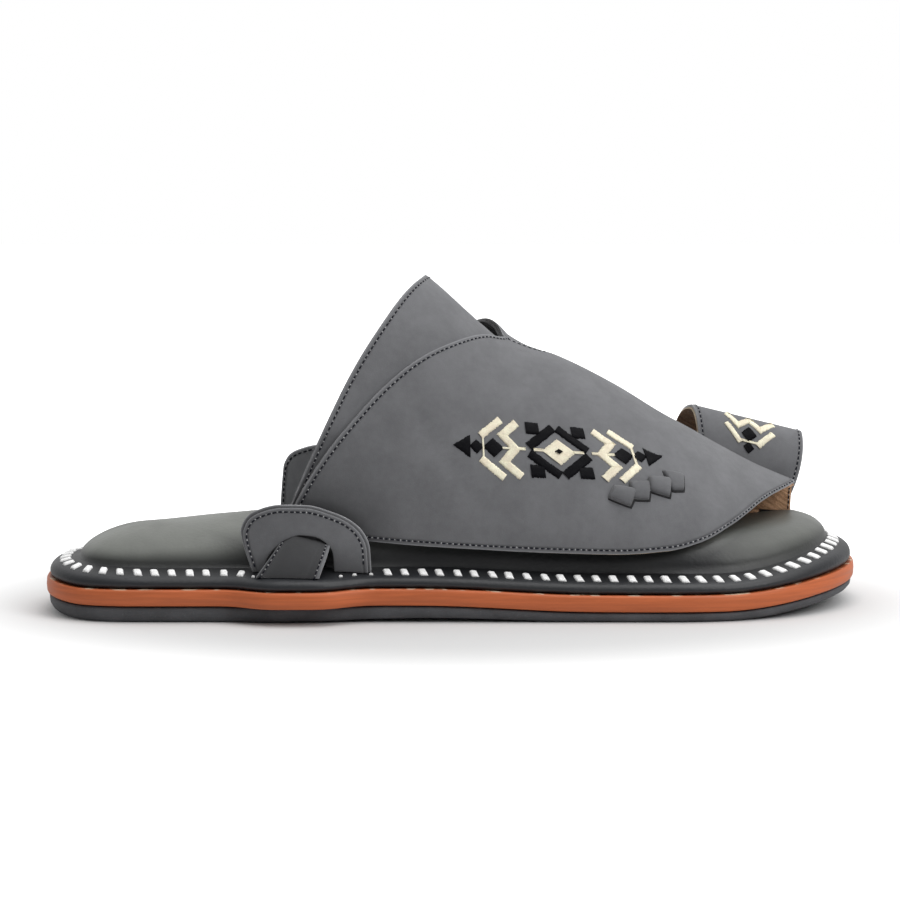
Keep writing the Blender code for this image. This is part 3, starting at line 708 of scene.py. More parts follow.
def mark_painted_shade(body, name):
    """Keeps how much painted shade darkens each point of a sheet beside the ears, most on the tails."""
    layer = body.verts.layers.float.new("rubbed")
    most, fade = PAINTED_SHADE.get(name, (0.0, 1.0))
    for vertex in body.verts:
        x, y, z = vertex.co / MM
        side = "lateral" if y < 0.0 else "medial"
        past_hem = SIDES[side] * (y - along(SECTIONS, side + "_y", x))
        on_tail = ease(*PAINTED_SHADE_HEM, past_hem) if z < along(SECTIONS, side + "_z", x) + 1.0 else 0.0
        share = drawn_share(x, z, side)
        sheet = most * share ** fade
        vertex[layer] = sheet + (PAINTED_SHADE_TAIL - sheet) * on_tail * share


def reach_out(body):
    """Moves a lining's open rim past the leather's edge, more towards the toe, and back at its front."""
    share = body.verts.layers.float["along"]
    moves = []
    for vertex in body.verts:
        inner = [edge.other_vert(vertex) for edge in vertex.link_edges if not edge.is_boundary]
        if vertex.is_boundary and inner:
            reach = LINING_REACH + LINING_TOE_REACH * ease(*LINING_TOE, vertex.co.x / MM)
            reach *= LINING_FRONT_PULL if vertex[share] == 1.0 else 1.0
            moves.append((vertex, (vertex.co - inner[0].co).normalized() * reach * MM))
    for vertex, move in moves:
        vertex.co += move


def add_piece(name, body, materials, node=None, wall=0.0, bevel=0.0, sharp=None):
    """Makes an object of a bmesh, with its wall and rounded edges, and lets it ride on the sandal."""
    mesh = bpy.data.meshes.new(name)
    body.to_mesh(mesh)
    body.free()
    mesh.shade_smooth()
    if sharp:
        mesh.set_sharp_from_angle(angle=math.radians(sharp))
    for material in materials:
        mesh.materials.append(material)
    piece = bpy.data.objects.new(name, mesh)
    bpy.context.scene.collection.objects.link(piece)
    if wall:
        thick = piece.modifiers.new("wall", "SOLIDIFY")
        thick.thickness, thick.offset = wall, -1.0
        thick.material_offset, thick.material_offset_rim = 1, 2
    if bevel:
        rounded = piece.modifiers.new("rounded_edges", "BEVEL")
        rounded.width, rounded.segments, rounded.limit_method = bevel, 2, "ANGLE"
        rounded.angle_limit = math.radians(BEVEL_ANGLE)
    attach(piece, "root")
    if node:
        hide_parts(node)
    return piece


def add_sheet(name, body, inside, node, sewn):
    """Makes one leather sheet of the upper with its thinner lining under it."""
    sizes = bpy.context.scene.sandal_sizes
    turn_outwards(body, inside)
    mark_rim(body, sewn)
    mark_painted_shade(body, name)
    lining = body.copy()
    lining.normal_update()
    for vertex in lining.verts:
        vertex.co -= vertex.normal * (sizes.wall + LINING_GAP * MM)
    reach_out(lining)
    edges = ("suede_lining", "suede_lining") if name == "wing_medial" else ("dyed_edge", "raw_edge")
    leather = [bpy.data.materials[key] for key in ("upper_nubuck_finish", "suede_lining", edges[0])]
    suede = [bpy.data.materials[key] for key in (edges[1], "suede_lining", edges[1])]
    add_piece(name, body, leather, node, sizes.wall, sizes.edge_round)
    add_piece(name + "_lining", lining, suede, node, sizes.lining, sizes.edge_round / 2.0)


def piece_tree(name):
    """Search tree of a finished piece, in metres."""
    piece = bpy.data.objects.get(name)
    if piece is None:
        raise RuntimeError("make the piece " + name + " first")
    return BVHTree.FromObject(piece, bpy.context.evaluated_depsgraph_get())


def footbed_seat():
    """Height of the footbed's top at a place in plan, in millimetres."""
    tree = piece_tree("footbed_leather")

    def seat(x, y):
        hit = tree.ray_cast(Vector((x * MM, y * MM, RAY_FROM_ABOVE)), Vector((0.0, 0.0, -1.0)))[0]
        if hit is None:
            raise RuntimeError("no footbed under %.1f, %.1f" % (x, y))
        return hit.z / MM

    return seat


def side_spot(tree, x, rise, tilt=0.0):
    """Point and normal of a sheet where a line from the lateral side, tilted down by an angle, meets it."""
    angle = math.radians(tilt)
    inwards = Vector((0.0, math.cos(angle), -math.sin(angle)))
    upwards = Vector((0.0, math.sin(angle), math.cos(angle)))
    start = Vector((x * MM, 0.0, 0.0)) + upwards * rise * MM - inwards * RAY_FROM_SIDE
    hit, normal, _, _ = tree.ray_cast(start, inwards)
    if hit is None:
        raise RuntimeError("no sheet at %.1f, %.1f" % (x, rise))
    return hit / MM, normal


def new_material(name):
    """Empty node material with a Principled shader; returns it with its tree and shader."""
    old = bpy.data.materials.get(name)
    if old:
        bpy.data.materials.remove(old)
    material = bpy.data.materials.new(name)
    material.use_nodes = True
    return material, material.node_tree, material.node_tree.nodes["Principled BSDF"]


def add_node(tree, kind, inputs=None, **settings):
    """Node with its settings and input values; an input that is a socket is linked."""
    node = tree.nodes.new(kind)
    for key, value in settings.items():
        setattr(node, key, value)
    for key, value in (inputs or {}).items():
        if isinstance(value, bpy.types.NodeSocket):
            tree.links.new(value, node.inputs[key])
        else:
            node.inputs[key].default_value = value
    return node


def object_coords(tree):
    """A piece's own coordinates, in metres."""
    return add_node(tree, "ShaderNodeTexCoord").outputs["Object"]


def reckon(tree, kind, a, b, c=0.0):
    """Result of one step of arithmetic."""
    return add_node(tree, "ShaderNodeMath", {0: a, 1: b, 2: c}, operation=kind).outputs[0]


def ramp(tree, value, low, high, to_low=0.0, to_high=1.0):
    """Smooth step of a value."""
    inputs = {0: value, 1: low, 2: high, 3: to_low, 4: to_high}
    return add_node(tree, "ShaderNodeMapRange", inputs, interpolation_type="SMOOTHSTEP").outputs[0]


def blend_colour(tree, share, first, second, kind="MIX"):
    """Colour between two colours; a mix node of colours keeps them on its inputs 6 and 7."""
    inputs = {0: share, 6: first, 7: second}
    return add_node(tree, "ShaderNodeMix", inputs, data_type="RGBA", blend_type=kind).outputs[2]


def noise_at(tree, coords, scale, detail, roughness=0.5):
    """Value of a noise texture."""
    inputs = {"Vector": coords, "Scale": scale, "Detail": detail, "Roughness": roughness}
    return add_node(tree, "ShaderNodeTexNoise", inputs).outputs[0]


def mark_at(tree, name):
    """Value that a piece's points carry under a name."""
    return add_node(tree, "ShaderNodeAttribute", attribute_name=name).outputs["Fac"]


def along_x(tree):
    """Place from heel to toe, in metres."""
    return add_node(tree, "ShaderNodeSeparateXYZ", {0: object_coords(tree)}).outputs[0]


def node_group(name, inputs, outputs):
    """Empty shader group with number inputs and outputs; returns it with its two ends."""
    old = bpy.data.node_groups.get(name)
    if old:
        return old, None, None
    group = bpy.data.node_groups.new(name, "ShaderNodeTree")
    for label, value in inputs.items():
        group.interface.new_socket(label, in_out="INPUT", socket_type="NodeSocketFloat").default_value = value
    for label in outputs:
        group.interface.new_socket(label, in_out="OUTPUT", socket_type="NodeSocketFloat")
    return group, add_node(group, "NodeGroupInput"), add_node(group, "NodeGroupOutput")


def nap_group():
    """Velvety nap: slow mottling, finger marks and fine fibres."""
    group, start, end = node_group("leather_nap", {"Mottle": 70.0, "Fibre": 2600.0}, ("Tone", "Height"))
    if start:
        coords = object_coords(group)
        slow = noise_at(group, coords, start.outputs["Mottle"], 4.0, 0.6)
        mid = noise_at(group, coords, 420.0, 3.0)
        fine = noise_at(group, coords, start.outputs["Fibre"], 2.0, 0.7)
        tone = reckon(group, "MULTIPLY", slow, 0.6)
        tone = reckon(group, "MULTIPLY_ADD", mid, 0.22, tone)
        tone = reckon(group, "MULTIPLY_ADD", fine, 0.18, tone)
        height = reckon(group, "MULTIPLY_ADD", mid, 0.5, fine)
        group.links.new(tone, end.inputs["Tone"])
        group.links.new(height, end.inputs["Height"])
    return group


def seam_group():
    """Sewn edge of a sheet, from its distance to the rim: the pulled-in seam line, also painted darker as
    shade in its groove, and a painted highlight along the rim.
    """
    group, start, end = node_group("sewn_edge", {"Inset": 2.2}, ("Height", "Line", "Rim"))
    if start:
        rim = mark_at(group, "rim")
        gap = reckon(group, "ABSOLUTE", reckon(group, "SUBTRACT", rim, start.outputs["Inset"]), 0.0)
        wide = ramp(group, gap, 0.0, 0.8, 1.0, 0.0)
        narrow = ramp(group, gap, 0.0, 0.4, 1.0, 0.0)
        height = reckon(group, "MULTIPLY_ADD", narrow, -0.4, reckon(group, "MULTIPLY", wide, -0.6))
        group.links.new(height, end.inputs["Height"])
        group.links.new(narrow, end.inputs["Line"])
        group.links.new(ramp(group, rim, 0.15, 0.6, 1.0, 0.0), end.inputs["Rim"])
    return group


def grain_group():
    """Pebbled leather grain with fine pores."""
    group, start, end = node_group("leather_grain", {"Pebble": 900.0}, ("Height", "Tone"))
    if start:
        coords = object_coords(group)
        pebble = add_node(group, "ShaderNodeTexVoronoi", {"Vector": coords, "Scale": start.outputs["Pebble"]},
                          feature="SMOOTH_F1")
        pores = noise_at(group, coords, 3000.0, 2.0)
        height = reckon(group, "MULTIPLY_ADD", pores, 0.5, pebble.outputs["Distance"])
        group.links.new(height, end.inputs["Height"])
        group.links.new(noise_at(group, coords, 45.0, 5.0), end.inputs["Tone"])
    return group


def thread_group():
    """Thread: fine plies and a slow change of tone."""
    group, start, end = node_group("thread_plies", {"Plies": 2400.0}, ("Height", "Tone"))
    if start:
        coords = object_coords(group)
        group.links.new(noise_at(group, coords, start.outputs["Plies"], 2.0), end.inputs["Height"])
        group.links.new(noise_at(group, coords, 300.0, 2.0), end.inputs["Tone"])
    return group


def use_group(tree, group, **values):
    """Outputs of a shared group in a material."""
    return add_node(tree, "ShaderNodeGroup", values, node_tree=group).outputs


def scaled(colour, factor):
    """Colour made darker or paler."""
    return (*(min(part * factor, 1.0) for part in colour[:3]), 1.0)


def dress(tree, shader, shade, roughness, specular=0.5):
    """Gives a shader its colour, its roughness and the strength of its shine."""
    tree.links.new(shade, shader.inputs["Base Color"])
    tree.links.new(roughness, shader.inputs["Roughness"])
    shader.inputs["Specular IOR Level"].default_value = specular


def bump(tree, shader, height, strength, distance):
    """Gives a shader small bumps."""
    node = add_node(tree, "ShaderNodeBump", {"Strength": strength, "Distance": distance, "Height": height})
    tree.links.new(node.outputs[0], shader.inputs["Normal"])


def nubuck_material(name="upper_nubuck_finish", paleness=1.0):
    """Grey nubuck with mottled nap and sewn edges, painted darker as shade beside the ears and in the seams'
    grooves, and paler along the rim as a painted highlight.
    """
    colour = scaled(bpy.context.scene.sandal_colours.nubuck, paleness)
    material, tree, shader = new_material(name)
    inset = bpy.context.scene.sandal_sizes.seam_inset / MM
    nap, seam = use_group(tree, nap_group()), use_group(tree, seam_group(), Inset=inset)
    tone = ramp(tree, nap["Tone"], 0.3, 0.72)
    shade = blend_colour(tree, tone, scaled(colour, 0.87), scaled(colour, 1.13))
    # Painted shade beside the ears and in the seam's groove, painted highlight along the rim
    layers = [(mark_at(tree, "rubbed"), 0.9, 0.22), (seam["Line"], 0.5, 0.35), (seam["Rim"], 0.45, 2.0)]
    for mask, strength, factor in layers:
        shade = blend_colour(tree, reckon(tree, "MULTIPLY", mask, strength), shade, scaled(colour, factor))
    dress(tree, shader, shade, ramp(tree, nap["Tone"], 0.2, 0.8, 0.9, 0.72), 0.3)
    shader.inputs["Sheen Weight"].default_value = 0.12
    shader.inputs["Sheen Roughness"].default_value = 0.5
    height = reckon(tree, "MULTIPLY_ADD", nap["Height"], 0.12, reckon(tree, "MULTIPLY", seam["Height"], 0.6))
    bump(tree, shader, height, 0.8, 0.0006)
    return material


def dyed_edge_material():
    """Dyed cut edge of the grey leather, paler than its face, partly as a painted highlight."""
    colour = bpy.context.scene.sandal_colours.grey_edge
    material, tree, shader = new_material("dyed_edge")
    nap = use_group(tree, nap_group(), Mottle=300.0, Fibre=2200.0)
    shade = blend_colour(tree, ramp(tree, nap["Tone"], 0.35, 0.65), scaled(colour, 0.6), scaled(colour, 1.15))
    dress(tree, shader, shade, ramp(tree, nap["Tone"], 0.2, 0.8, 0.95, 0.7))
    bump(tree, shader, nap["Height"], 0.6, 0.0003)
    return material


def slit_shadow_material():
    """Painted shadow in and round the slits that the lace passes through."""
    colour = bpy.context.scene.sandal_colours.lining_painted_shade
    material, tree, shader = new_material("dark_slit")
    nap = use_group(tree, nap_group(), Mottle=300.0, Fibre=2200.0)
    shade = blend_colour(tree, ramp(tree, nap["Tone"], 0.35, 0.65), scaled(colour, 0.5), colour)
    dress(tree, shader, shade, ramp(tree, nap["Tone"], 0.2, 0.8, 1.0, 0.9))
    return material


def lining_material():
    """Suede lining: brown towards the toe; under the instep it is near-black painted shade, and before the
    toe tip a darker copy of the brown is painted shade.
    """
    colours = bpy.context.scene.sandal_colours
    material, tree, shader = new_material("suede_lining")
    nap = use_group(tree, nap_group(), Mottle=160.0, Fibre=1500.0)
    x, brown = along_x(tree), colours.brown_lining
    # Painted shade: near-black under the instep, then a darker copy of the brown, then the full brown at the
    # toe tip
    base = blend_colour(tree, ramp(tree, x, 0.02, 0.08), colours.lining_painted_shade, scaled(brown, 0.36))
    base = blend_colour(tree, ramp(tree, x, 0.098, 0.112), base, brown)
    stretch = add_node(tree, "ShaderNodeMapping", {
        "Vector": object_coords(tree), "Rotation": (0.0, 0.6, 0.0), "Scale": (0.009, 0.003, 0.0009)},
        vector_type="TEXTURE")
    streak = ramp(tree, noise_at(tree, stretch.outputs[0], 1.0, 3.0), 0.6, 0.36, 0.0, 0.48)
    shade = blend_colour(tree, streak, base, scaled(brown, 0.3), "MULTIPLY")
    shade = blend_colour(tree, ramp(tree, nap["Tone"], 0.3, 0.7, 0.3, 0.0), shade, LINING_SHADOW)
    dress(tree, shader, shade, ramp(tree, nap["Tone"], 0.2, 0.8, 1.0, 0.85))
    shader.inputs["Sheen Weight"].default_value = 0.3
    bump(tree, shader, nap["Height"], 0.9, 0.0005)
    return material


def raw_edge_material():
    """Cut edge of the leather: pale cream fibres towards the toe, dusty grey behind."""
    colours = bpy.context.scene.sandal_colours
    material, tree, shader = new_material("raw_edge")
    nap = use_group(tree, nap_group(), Mottle=260.0, Fibre=1800.0)
    base = blend_colour(tree, ramp(tree, along_x(tree), 0.02, 0.07), colours.grey_edge, colours.cream_edge)
    shade = blend_colour(tree, ramp(tree, nap["Tone"], 0.35, 0.65, 0.55, 0.0), base, RAW_EDGE_SHADOW)
    dress(tree, shader, shade, ramp(tree, nap["Tone"], 0.2, 0.8, 1.0, 0.8))
    bump(tree, shader, nap["Height"], 0.8, 0.0004)
    return material


def footbed_material():
    """Charcoal bed leather with satin grain: a painted highlight makes its crown paler, reaching further down
    at the open ends and dimmer at the toe; the margin's outer side is paler and the slope up to the pad
    darker, as painted shade in the crease.
    """
    colours = bpy.context.scene.sandal_colours
    colour = colours.footbed
    material, tree, shader = new_material("footbed_leather_finish")
    grain = use_group(tree, grain_group())
    share, x = mark_at(tree, "along"), along_x(tree)
    # Painted highlight on the pad's crown, wider at the open ends and dimmer at the toe
    toe_end = ramp(tree, x, 0.085, 0.11)
    heel_painted_light = reckon(tree, "MULTIPLY", ramp(tree, share, 0.44, 0.7), ramp(tree, x, -0.06, -0.09))
    toe_painted_light = reckon(tree, "MULTIPLY", ramp(tree, share, 0.42, 0.64), toe_end)
    crown = reckon(tree, "MAXIMUM", heel_painted_light, toe_painted_light)
    crown = reckon(tree, "MAXIMUM", ramp(tree, share, 0.54, 0.86), crown)
    top = blend_colour(tree, toe_end, colours.crown, scaled(colours.crown, TOE_PAINTED_LIGHT_SHARE))
    tone = ramp(tree, grain["Tone"], 0.32, 0.68)
    # The margin's outer side is paler; the slope up to the pad is darker, as painted shade in the crease
    shade = blend_colour(tree, ramp(tree, share, 0.28, 0.42), scaled(colour, 1.5), scaled(colour, 0.6))
    shade = blend_colour(tree, crown, shade, top)
    shade = blend_colour(tree, reckon(tree, "MULTIPLY", tone, 0.25), shade, scaled(colours.crown, 0.1))
    dress(tree, shader, shade, ramp(tree, grain["Tone"], 0.3, 0.7, 0.4, 0.5), 0.45)
    bump(tree, shader, grain["Height"], 0.16, 0.0004)
    return material


def midsole_material():
    """Tan layer: long streaks, a burnished dark top line, a bottom edge darkened as painted shade, and spots
    of pale glue.
    """
    colours = bpy.context.scene.sandal_colours
    material, tree, shader = new_material("midsole_tan_finish")
    coords = object_coords(tree)
    stretch = add_node(tree, "ShaderNodeMapping", {"Vector": coords, "Scale": (40.0, 40.0, 900.0)})
    streak = noise_at(tree, stretch.outputs[0], 1.0, 5.0)
    spots = noise_at(tree, coords, 180.0, 3.0)
    share = mark_at(tree, "along")
    tone = ramp(tree, streak, 0.35, 0.7)
    shade = blend_colour(tree, tone, scaled(colours.midsole, 0.9), scaled(colours.midsole, 1.1))
    # A burnished dark line along the top, and painted shade along the bottom edge next to the outsole
    edge = reckon(tree, "MAXIMUM", ramp(tree, share, 0.79, 0.87), ramp(tree, share, 0.22, 0.13))
    shade = blend_colour(tree, reckon(tree, "MULTIPLY", edge, 0.7), shade, scaled(colours.midsole, 0.3))
    glue = reckon(tree, "MULTIPLY", ramp(tree, spots, 0.52, 0.62), ramp(tree, share, 0.74, 0.8))
    shade = blend_colour(tree, reckon(tree, "MULTIPLY", glue, 0.7), shade, colours.cream_edge)
    dress(tree, shader, shade, ramp(tree, streak, 0.3, 0.7, 0.42, 0.55), 0.35)
    bump(tree, shader, streak, 0.1, 0.0003)
    return material


def rubber_material():
    """Dark rubber sole with fine speckle and rubbed patches."""
    colour = bpy.context.scene.sandal_colours.outsole
    material, tree, shader = new_material("outsole_rubber_finish")
    coords = object_coords(tree)
    speckle, patches = noise_at(tree, coords, 2200.0, 3.0), noise_at(tree, coords, 90.0, 4.0)
    tone = ramp(tree, patches, 0.3, 0.7)
    shade = blend_colour(tree, tone, scaled(colour, 0.75), scaled(colour, 1.3))
    shade = blend_colour(tree, ramp(tree, speckle, 0.62, 0.7, 0.0, 0.4), shade, scaled(colour, 2.2))
    dress(tree, shader, shade, ramp(tree, patches, 0.3, 0.7, 0.62, 0.78))
    bump(tree, shader, speckle, 0.4, 0.0003)
    return material


def thread_material(name, colour, roughness, shine):
    """Thread of one colour, with plies painted darker as shade where they sink, and a little tone."""
    material, tree, shader = new_material(name)
    plies = use_group(tree, thread_group())
    tone = ramp(tree, plies["Tone"], 0.3, 0.7)
    shade = blend_colour(tree, tone, scaled(colour, 0.9), scaled(colour, 1.06))
    # Painted shade: the low parts of the plies are darker
    shade = blend_colour(tree, ramp(tree, plies["Height"], 0.5, 0.3, 0.0, 0.35), shade, scaled(colour, 0.6))
    dress(tree, shader, shade, ramp(tree, plies["Tone"], 0.3, 0.7, roughness, roughness + 0.12), shine)
    bump(tree, shader, plies["Height"], 0.6, 0.0003)
    return material


def size_property(label, description, default, low, high):
    """Length that the panel shows."""
    return bpy.props.FloatProperty(
        name=label, description=description, default=default, min=low, max=high, unit="LENGTH")


def colour_property(label, description, default):
    """Colour that the panel shows."""
    return bpy.props.FloatVectorProperty(
        name=label, description=description, default=(*default, 1.0), size=4, min=0.0, max=1.0,
        subtype="COLOR")


class SandalSizes(bpy.types.PropertyGroup):
    """Sizes of the leather and the sewing."""

    wall: size_property(
        "Leather thickness", "Thickness of the upper's sheets without their lining", 0.0013, 0.0005, 0.003)
    lining: size_property(
        "Lining thickness", "Thickness of the suede under the upper's sheets", 0.00055, 0.0002, 0.002)
    ear_wall: size_property(
        "Ear layer thickness", "Thickness of each of an ear's two layers", 0.0013, 0.0005, 0.003)
    edge_round: size_property("Edge rounding", "Width of the rounded cut edges", 0.0003, 0.0001, 0.001)
    seam_inset: size_property("Seam inset", "Distance of the seams from the cut edges", 0.0015, 0.0008, 0.005)
    seam_pitch: size_property(
        "Seam pitch", "Length of one stitch of the seams with its gap", 0.002, 0.0012, 0.006)
    seam_thread: size_property("Seam thread", "Width of the seams' thread", 0.0006, 0.0002, 0.0015)
    margin_pitch: size_property(
        "Margin pitch", "Distance from one margin stitch to the next", 0.006, 0.003, 0.012)
    margin_thread: size_property("Margin thread", "Width of a margin stitch", 0.003, 0.001, 0.004)
    margin_stitch: size_property(
        "Margin stitch", "Length of a margin stitch across the margin", 0.0045, 0.002, 0.008)
    satin_rise: size_property(
        "Satin rise", "Height of the embroidery over the leather", 0.0005, 0.0001, 0.001)


class SandalColours(bpy.types.PropertyGroup):
    """Colours of the leather, the sole and the threads."""

    nubuck: colour_property("Nubuck", "Grey leather of the upper", (0.152, 0.154, 0.162))
    brown_lining: colour_property("Brown lining", "Suede inside the toe end", (0.9, 0.54, 0.315))
    # Painted shade: the near-black of the lining under the instep and of the slits
    lining_painted_shade: colour_property("Dark lining", "Suede under the instep", (0.023, 0.023, 0.025))
    cream_edge: colour_property("Cream edge", "Cut edge of the lining towards the toe", (0.72, 0.58, 0.42))
    # Paler than the nubuck, partly as a painted highlight along the lit cut edges
    grey_edge: colour_property("Grey edge", "Cut edges of the grey leather", (0.4, 0.4, 0.41))
    footbed: colour_property("Footbed", "Charcoal leather of the margin", (0.0115, 0.0125, 0.015))
    # Painted highlight: the pad's crown is painted far paler than the margin's charcoal
    crown: colour_property("Footbed crown", "Rubbed charcoal leather on the pad's top", (0.174, 0.182, 0.166))
    midsole: colour_property("Midsole", "Tan layer of the sole", (0.53, 0.132, 0.044))
    outsole: colour_property("Outsole", "Rubber of the sole", (0.074, 0.076, 0.082))
    margin_thread: colour_property("Margin thread", "White thread of the margin", (1.0, 1.0, 0.99))
    seam_thread: colour_property("Seam thread", "Dark thread of the seams", (0.009, 0.01, 0.017))
    cream_thread: colour_property("Cream thread", "Pale thread of the embroidery", (1.0, 0.9, 0.7))
    black_thread: colour_property("Black thread", "Dark thread of the embroidery", (0.0025, 0.0025, 0.004))
    floor: colour_property("Floor", "Studio floor", (0.66, 0.66, 0.66))


class SANDAL_OT_sole_layers(bpy.types.Operator):
    """Makes the rubber outsole and the tan midsole"""
    bl_idname = "sandal.sole_layers"
    bl_label = "Sole layers"

    def execute(self, context):
        layers = [
            ("outsole", OUTSOLE_EDGE, OUTSOLE_LOBE_SHARE, outsole_low, outsole_top, rubber_material(),
             "outsole_rubber"),
            ("midsole", MIDSOLE_EDGE, 1.0, midsole_low, midsole_top, midsole_material(), "midsole_tan"),
        ]
        for node, profile, lobe_share, low_at, high_at, material, slot in layers:
            body = bmesh.new()
            place, rows = layer_place(profile, lobe_share, low_at, high_at)
            shaped_grid(body, OUTLINE_COLUMNS, rows, place)
            weld(body)
            add_piece(node + "_layer", body, [material], node, sharp=SOLE_SHARP_ANGLE)
        return {"FINISHED"}


class SANDAL_OT_footbed(bpy.types.Operator):
    """Makes the padded footbed with its sloping margin"""
    bl_idname = "sandal.footbed"
    bl_label = "Footbed"

    def execute(self, context):
        body = bmesh.new()
        place, rows = footbed_place()
        shaped_grid(body, OUTLINE_COLUMNS, rows, place)
        weld(body)
        piece = add_piece("footbed_leather", body, [footbed_material()], "footbed")
        return {"FINISHED"}


class SANDAL_OT_margin_stitches(bpy.types.Operator):
    """Sews the white stitches round the margin"""
    bl_idname = "sandal.margin_stitches"
    bl_label = "Margin stitches"

    def execute(self, context):
        sizes, colours = context.scene.sandal_sizes, context.scene.sandal_colours
        seat = footbed_seat()
        dice = random.Random(SEED)
        body = bmesh.new()
        steps, ring = STITCH_STEPS, []
        for n in range(steps):
            x = outline_point(n / steps, 1.0).x
            inset = STITCH_INSET - STITCH_TOE_PULL * bell(x - STITCH_TOE_X, STITCH_TOE_SPREAD)
            ring.append(inset_point(n / steps, 1.0, inset + STITCH_TIP_PUSH * ease(*STITCH_TIP, x)))
        length = sum((b - a).length for a, b in zip(ring, ring[1:] + ring[:1]))
        count = round(length / (sizes.margin_pitch / MM))
        travelled, wanted = 0.0, 0.0
        for n in range(steps):
            run = ring[(n + 1) % steps] - ring[n]
            if travelled >= wanted:
                wanted += length / count
                side = "medial" if 2 * n < steps else "lateral"
                middle = ring[n]
                half_width, half_length = sizes.margin_thread / 2.0, sizes.margin_stitch / 2.0
                if STITCH_CAUGHT_X[side][0] < middle.x < STITCH_CAUGHT_X[side][1]:
                    middle = inset_point(n / steps, 1.0, STITCH_CAUGHT_INSET)
                    half_width *= STITCH_CAUGHT_WIDTH
                    half_length *= STITCH_CAUGHT_LENGTH
                if not STITCH_COVERED_X[side][0] < middle.x < STITCH_COVERED_X[side][1]:
                    self.sew(body, seat, middle, run.normalized(), half_width / MM, half_length / MM, dice)
            travelled += run.length
        bmesh.ops.recalc_face_normals(body, faces=body.faces)
        material = thread_material("margin_thread", colours.margin_thread, 0.55, 0.25)
        add_piece("margin_stitches", body, [material])
        return {"FINISHED"}

    def sew(self, body, seat, middle, run, half_width, half_length, dice):
        """Adds one slanting, domed stitch that lies on the margin."""
        out = Vector((run.y, -run.x))
        turn = dice.uniform(-STITCH_TURN, STITCH_TURN)
        size = dice.uniform(*STITCH_SIZE)

        def place(s, t):
            a, b = 2.0 * s - 1.0, 2.0 * t - 1.0
            spot = middle + run * (a * half_width * size + (STITCH_SLANT + turn) * b * half_length)
            spot = spot + out * (b * half_length * size)
            dome = max((1.0 - a ** 4) * (1.0 - b ** 8), 0.0) ** 0.5
            return Vector((spot.x, spot.y, seat(spot.x, spot.y) - STITCH_SUNK + STITCH_DOME * dome))

        close_underside(body, shaped_grid(body, 6, 8, place))


class SANDAL_OT_instep_band(bpy.types.Operator):
    """Makes the instep band with the tails that pass through the ears"""
    bl_idname = "sandal.instep_band"
    bl_label = "Instep band"

    def execute(self, context):
        for make in (nubuck_material, lining_material, raw_edge_material, dyed_edge_material, slit_shadow_material):
            make()
        body = bmesh.new()
        place, columns = band_place(footbed_seat())
        shaped_grid(body, columns, BAND_ROWS, place)
        add_sheet("instep_band", body, BAND_HOLLOW, "upper", ("rear", "front"))
        return {"FINISHED"}


class SANDAL_OT_wings(bpy.types.Operator):
    """Makes the two wings that lap over the instep band"""
    bl_idname = "sandal.wings"
    bl_label = "Wings"

    def execute(self, context):
        seat = footbed_seat()
        wings = [("wing_lateral", wing_lateral_place(seat), ("rear", "left", "front")),
                 ("wing_medial", wing_medial_place(seat), ("rear", "right"))]
        for name, place, sewn in wings:
            body = bmesh.new()
            shaped_grid(body, WING_COLUMNS, WING_ROWS, place)
            add_sheet(name, body, WING_HOLLOW, "upper", sewn)
        return {"FINISHED"}


class SANDAL_OT_toe_ring(bpy.types.Operator):
    """Makes the ring for the big toe"""
    bl_idname = "sandal.toe_ring"
    bl_label = "Toe ring"

    def execute(self, context):
        body = bmesh.new()
        shaped_grid(body, RING_COLUMNS, RING_ROWS, ring_place(footbed_seat()))
        add_sheet("toe_ring_leather", body, RING_HOLLOW, "toe_ring", ("rear", "front"))
        return {"FINISHED"}


class SANDAL_OT_ears(bpy.types.Operator):
    """Makes the two ears, each of two layers"""
    bl_idname = "sandal.ears"
    bl_label = "Ears"

    def execute(self, context):
        sizes = context.scene.sandal_sizes
        seat = footbed_seat()
        nubuck = bpy.data.materials["upper_nubuck_finish"]
        # The ears' inner faces get a paler copy of the nubuck, as painted light
        back = nubuck_material("nubuck_back", EAR_INNER_PAINTED_LIGHT)
        for ear in EARS:
            for layer in EAR_LAYERS:
                materials = [nubuck, back, bpy.data.materials[layer.edge]]
                body = bmesh.new()
                shaped_grid(body, EAR_COLUMNS, EAR_ROWS, ear_place(ear, layer, seat))
                turn_outwards(body, (ear.x, 0.0, EAR_HOLLOW_RISE))
                mark_rim(body, ("front",))
                # Painted shade darkens each ear towards its foot and, on the lateral ear, towards its rear
                rubbed = body.verts.layers.float.new("rubbed")
                for vertex in body.verts:
                    x, y, z = vertex.co / MM
                    low = EAR_PAINTED_SHADE * (1.0 - ease(0.0, EAR_PAINTED_SHADE_RISE, z - seat(x, y)))
                    rear = EAR_PAINTED_SHADE_REAR[ear.side] * (1.0 - ease(*EAR_PAINTED_SHADE_SPAN, x - ear.x))
                    vertex[rubbed] = max(low, rear)
                add_piece("ear_%s_%s" % (ear.side, layer.name), body, materials,
                          "ear_" + ear.side, sizes.ear_wall, sizes.edge_round)
        return {"FINISHED"}


